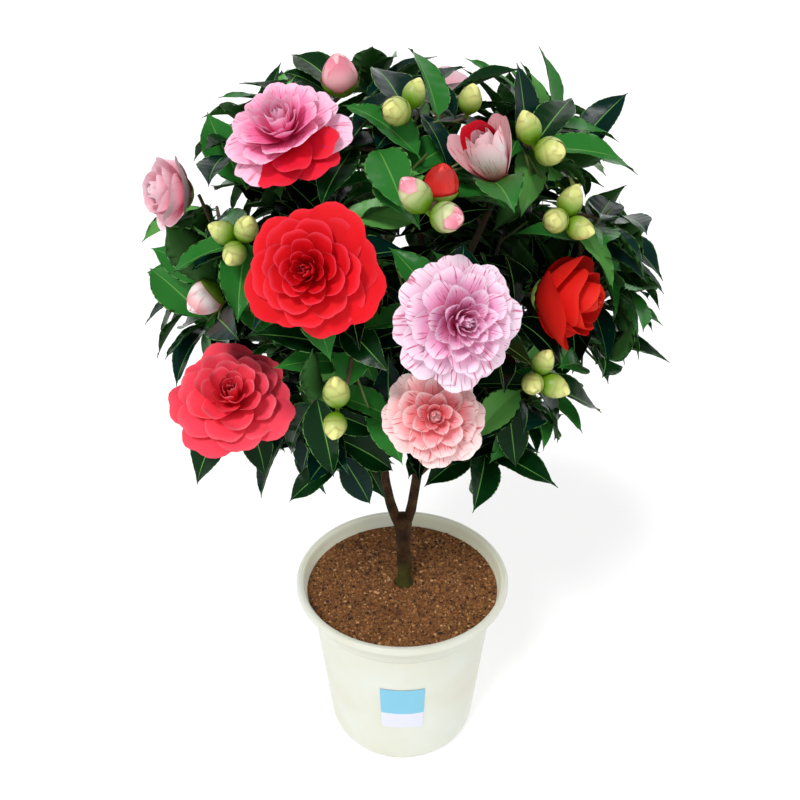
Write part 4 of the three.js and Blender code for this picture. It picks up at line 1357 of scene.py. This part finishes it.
def make_label():
    """A plain label in the pot's wall: a pale blue band over white, with nothing on it."""
    u, v = np.meshgrid(np.linspace(-1, 1, 17), np.linspace(0, 1, 9))
    height = LABEL_FOOT + LABEL_HEIGHT * v
    slope = (WALL_TOP[0] - WALL_FOOT[0]) / (WALL_TOP[1] - WALL_FOOT[1])
    radius = WALL_FOOT[0] + slope * (height - WALL_FOOT[1]) + LABEL_CLEAR
    angle = u * LABEL_HALF_TURN
    points = np.stack([radius * np.sin(angle), -radius * np.cos(angle), height], -1).reshape(-1, 3)
    heap = Heap()
    heap.add(points, grid_faces(9, 17), np.repeat([0, 0, 0, 1, 1, 1, 1, 1], 16))
    relief = (300, 0.1, 0.2)
    white = new_material("label_white", srgb(214, 216, 232), 0.4, relief)
    blue = new_material("label_blue", srgb(120, 188, 214), 0.35, relief)
    heap.piece("blank_label", [white, blue], "pot_shell")


BED_RADIUS = RIM_RADIUS - 12.4
BED_DROP = 0.9  # of the bed below the lie of the soil, for the crumbs to stand on
CRUMBS = 7600
CRUMB_STEPS = [(0.93, 3), (0.84, 4), (0.6, 2), (0.3, 1)]  # the tone above which a crumb has each colour
ICO = (1 + math.sqrt(5)) / 2
CRUMB_POINTS = np.array([
    (-1, ICO, 0), (1, ICO, 0), (-1, -ICO, 0), (1, -ICO, 0), (0, -1, ICO), (0, 1, ICO),
    (0, -1, -ICO), (0, 1, -ICO), (ICO, 0, -1), (ICO, 0, 1), (-ICO, 0, -1), (-ICO, 0, 1),
]) / math.sqrt(1 + ICO**2)
CRUMB_FACES = np.array([
    (0, 11, 5), (0, 5, 1), (0, 1, 7), (0, 7, 10), (0, 10, 11), (1, 5, 9), (5, 11, 4), (11, 10, 2), (10, 7, 6),
    (7, 1, 8), (3, 9, 4), (3, 4, 2), (3, 2, 6), (3, 6, 8), (3, 8, 9), (4, 9, 5), (2, 4, 11), (6, 2, 10),
    (8, 6, 7), (9, 8, 1),
])


def soil_lie(x, y):
    """The soil lies uneven between the trunk's foot and the wall, where it is a shade lower."""
    share = (np.hypot(x, y) / (RIM_RADIUS - 12)) ** 2
    waves = 1 + 0.8 * np.sin(x / 17 + 1) * np.cos(y / 21)
    return SOIL_TOP - 1.2 * share - 3.2 * share * (1 - share) * waves


def soil_materials():
    tones = [srgb(138, 88, 44), srgb(164, 110, 60), srgb(104, 62, 30), srgb(208, 160, 108), srgb(62, 38, 20)]
    for i, tone in enumerate(tones):
        dark = tuple(0.62 * c for c in tone)
        yield new_material(f"soil_{i}", tone, 0.95, (700, 0.8, 0.8), ([dark, tone], 420))


def make_bed(material):
    """The bed that closes the soil below its crumbs."""
    rings, sides = 26, 120
    turns = turns_of(sides)
    points = []
    for r in range(1, rings + 1):
        x, y = BED_RADIUS * r / rings * np.cos(turns), BED_RADIUS * r / rings * np.sin(turns)
        points.append(np.stack([x, y, soil_lie(x, y) - BED_DROP], -1))
    bed = Heap()
    bed.add(np.concatenate(points), grid_faces(rings, sides, closed=True), 0)
    bed.piece("soil_bed", [material], "potting_soil", "soil")


def make_crumbs(materials):
    """The soil's crumbs, spread by the golden angle up to the pot's wall and the trunk's foot."""
    crumbs = Heap()
    for i in range(CRUMBS):
        out = (BED_RADIUS - 1.5) * math.sqrt((i + 0.5) / CRUMBS)
        turn = GOLDEN_ANGLE * i
        x = out * math.cos(turn) + 1.5 * spread_draw(i, 1)
        y = out * math.sin(turn) + 1.5 * spread_draw(i, 2)
        if math.hypot(x - TRUNK_FOOT, y) < FLARE_RADIUS - 1 or math.hypot(x, y) > BED_RADIUS - 1:
            continue
        grain = 0.8 + 1.3 * draw(i, 3) ** 3
        squash = [1 + 0.4 * spread_draw(i, 4), 1 + 0.4 * spread_draw(i, 5), 0.8 + 0.3 * draw(i, 6)]
        lumps = 1 + 0.22 * np.sin(7 * CRUMB_POINTS[:, :1] + 9 * draw(i, 7)) * np.cos(5 * CRUMB_POINTS[:, 1:2])
        centre = np.array([x, y, soil_lie(x, y) - 0.6 + 0.1 * grain])
        points = centre + CRUMB_POINTS * squash * lumps * grain
        crumbs.add(points, CRUMB_FACES, pick(draw(i, 8), CRUMB_STEPS))
    crumbs.piece("soil_crumbs", materials, "potting_soil", "soil", smooth_faces=False)


def make_soil():
    materials = list(soil_materials())
    make_bed(materials[0])
    make_crumbs(materials)


# ---- Studio ----
def make_camera():
    lens = bpy.data.cameras.new("camera")
    lens.lens = 34.2
    lens.sensor_width = 36
    lens.clip_start = 0.05
    camera = new_object("camera", lens)
    camera.location = (-0.0027, -0.706, 0.815)
    camera.rotation_euler = (math.radians(90 - 27.4), 0, 0)
    bpy.context.scene.camera = camera


# Each light's azimuth and height in degrees, its strength, and its width in degrees.
SUNS = [(-30, 50, 1.9, 14), (50, 38, 0.5, 50), (160, 50, 0.6, 40)]


def make_lights():
    world = bpy.data.worlds.new("studio")
    world.use_nodes = True
    background = world.node_tree.nodes["Background"]
    background.inputs["Color"].default_value = (1, 1, 1, 1)
    background.inputs["Strength"].default_value = 0.28
    bpy.context.scene.world = world
    for i, (azimuth, elevation, strength, width) in enumerate(SUNS):
        light = bpy.data.lights.new(f"sun_{i}", "SUN")
        light.energy = strength
        light.angle = math.radians(width)
        lamp = new_object(f"sun_{i}", light)
        lamp.rotation_euler = Vector(facing(azimuth, elevation)).to_track_quat("Z", "Y").to_euler()


def make_floor():
    """A white floor that turns up into a low wall all round, like a studio's sweep."""
    flat, wall, height, sides = 3.2, 5.0, 3.4, 64
    bend = np.linspace(0, math.pi / 2, 9)
    rings = [(0.001, 0)] + [(flat + (wall - flat) * math.sin(a), height * (1 - math.cos(a))) for a in bend]
    turns = turns_of(sides)
    points = [(r * math.cos(a), r * math.sin(a), z) for r, z in rings for a in turns]
    mesh = bpy.data.meshes.new("floor")
    mesh.from_pydata(points, [], grid_faces(len(rings), sides, closed=True).tolist())
    mesh.polygons.foreach_set("use_smooth", [True] * len(mesh.polygons))
    glow = {"Emission_Color": (1, 1, 1, 1), "Emission_Strength": 0.54}
    white = new_material("floor_white", (0.5, 0.5, 0.5), 0.9, **glow)
    mesh.materials.append(white)
    floor = new_object("floor", mesh)
    floor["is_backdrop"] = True


bpy.context.scene.view_settings.view_transform = "Standard"
make_camera()
make_lights()
make_floor()
make_pot()
make_label()
make_soil()
make_wood()
grow_crown()

boxes = {"cad": cad_box, "visual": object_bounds()}
{name: [[float(v) for v in corner] for corner in box] for name, box in boxes.items()}
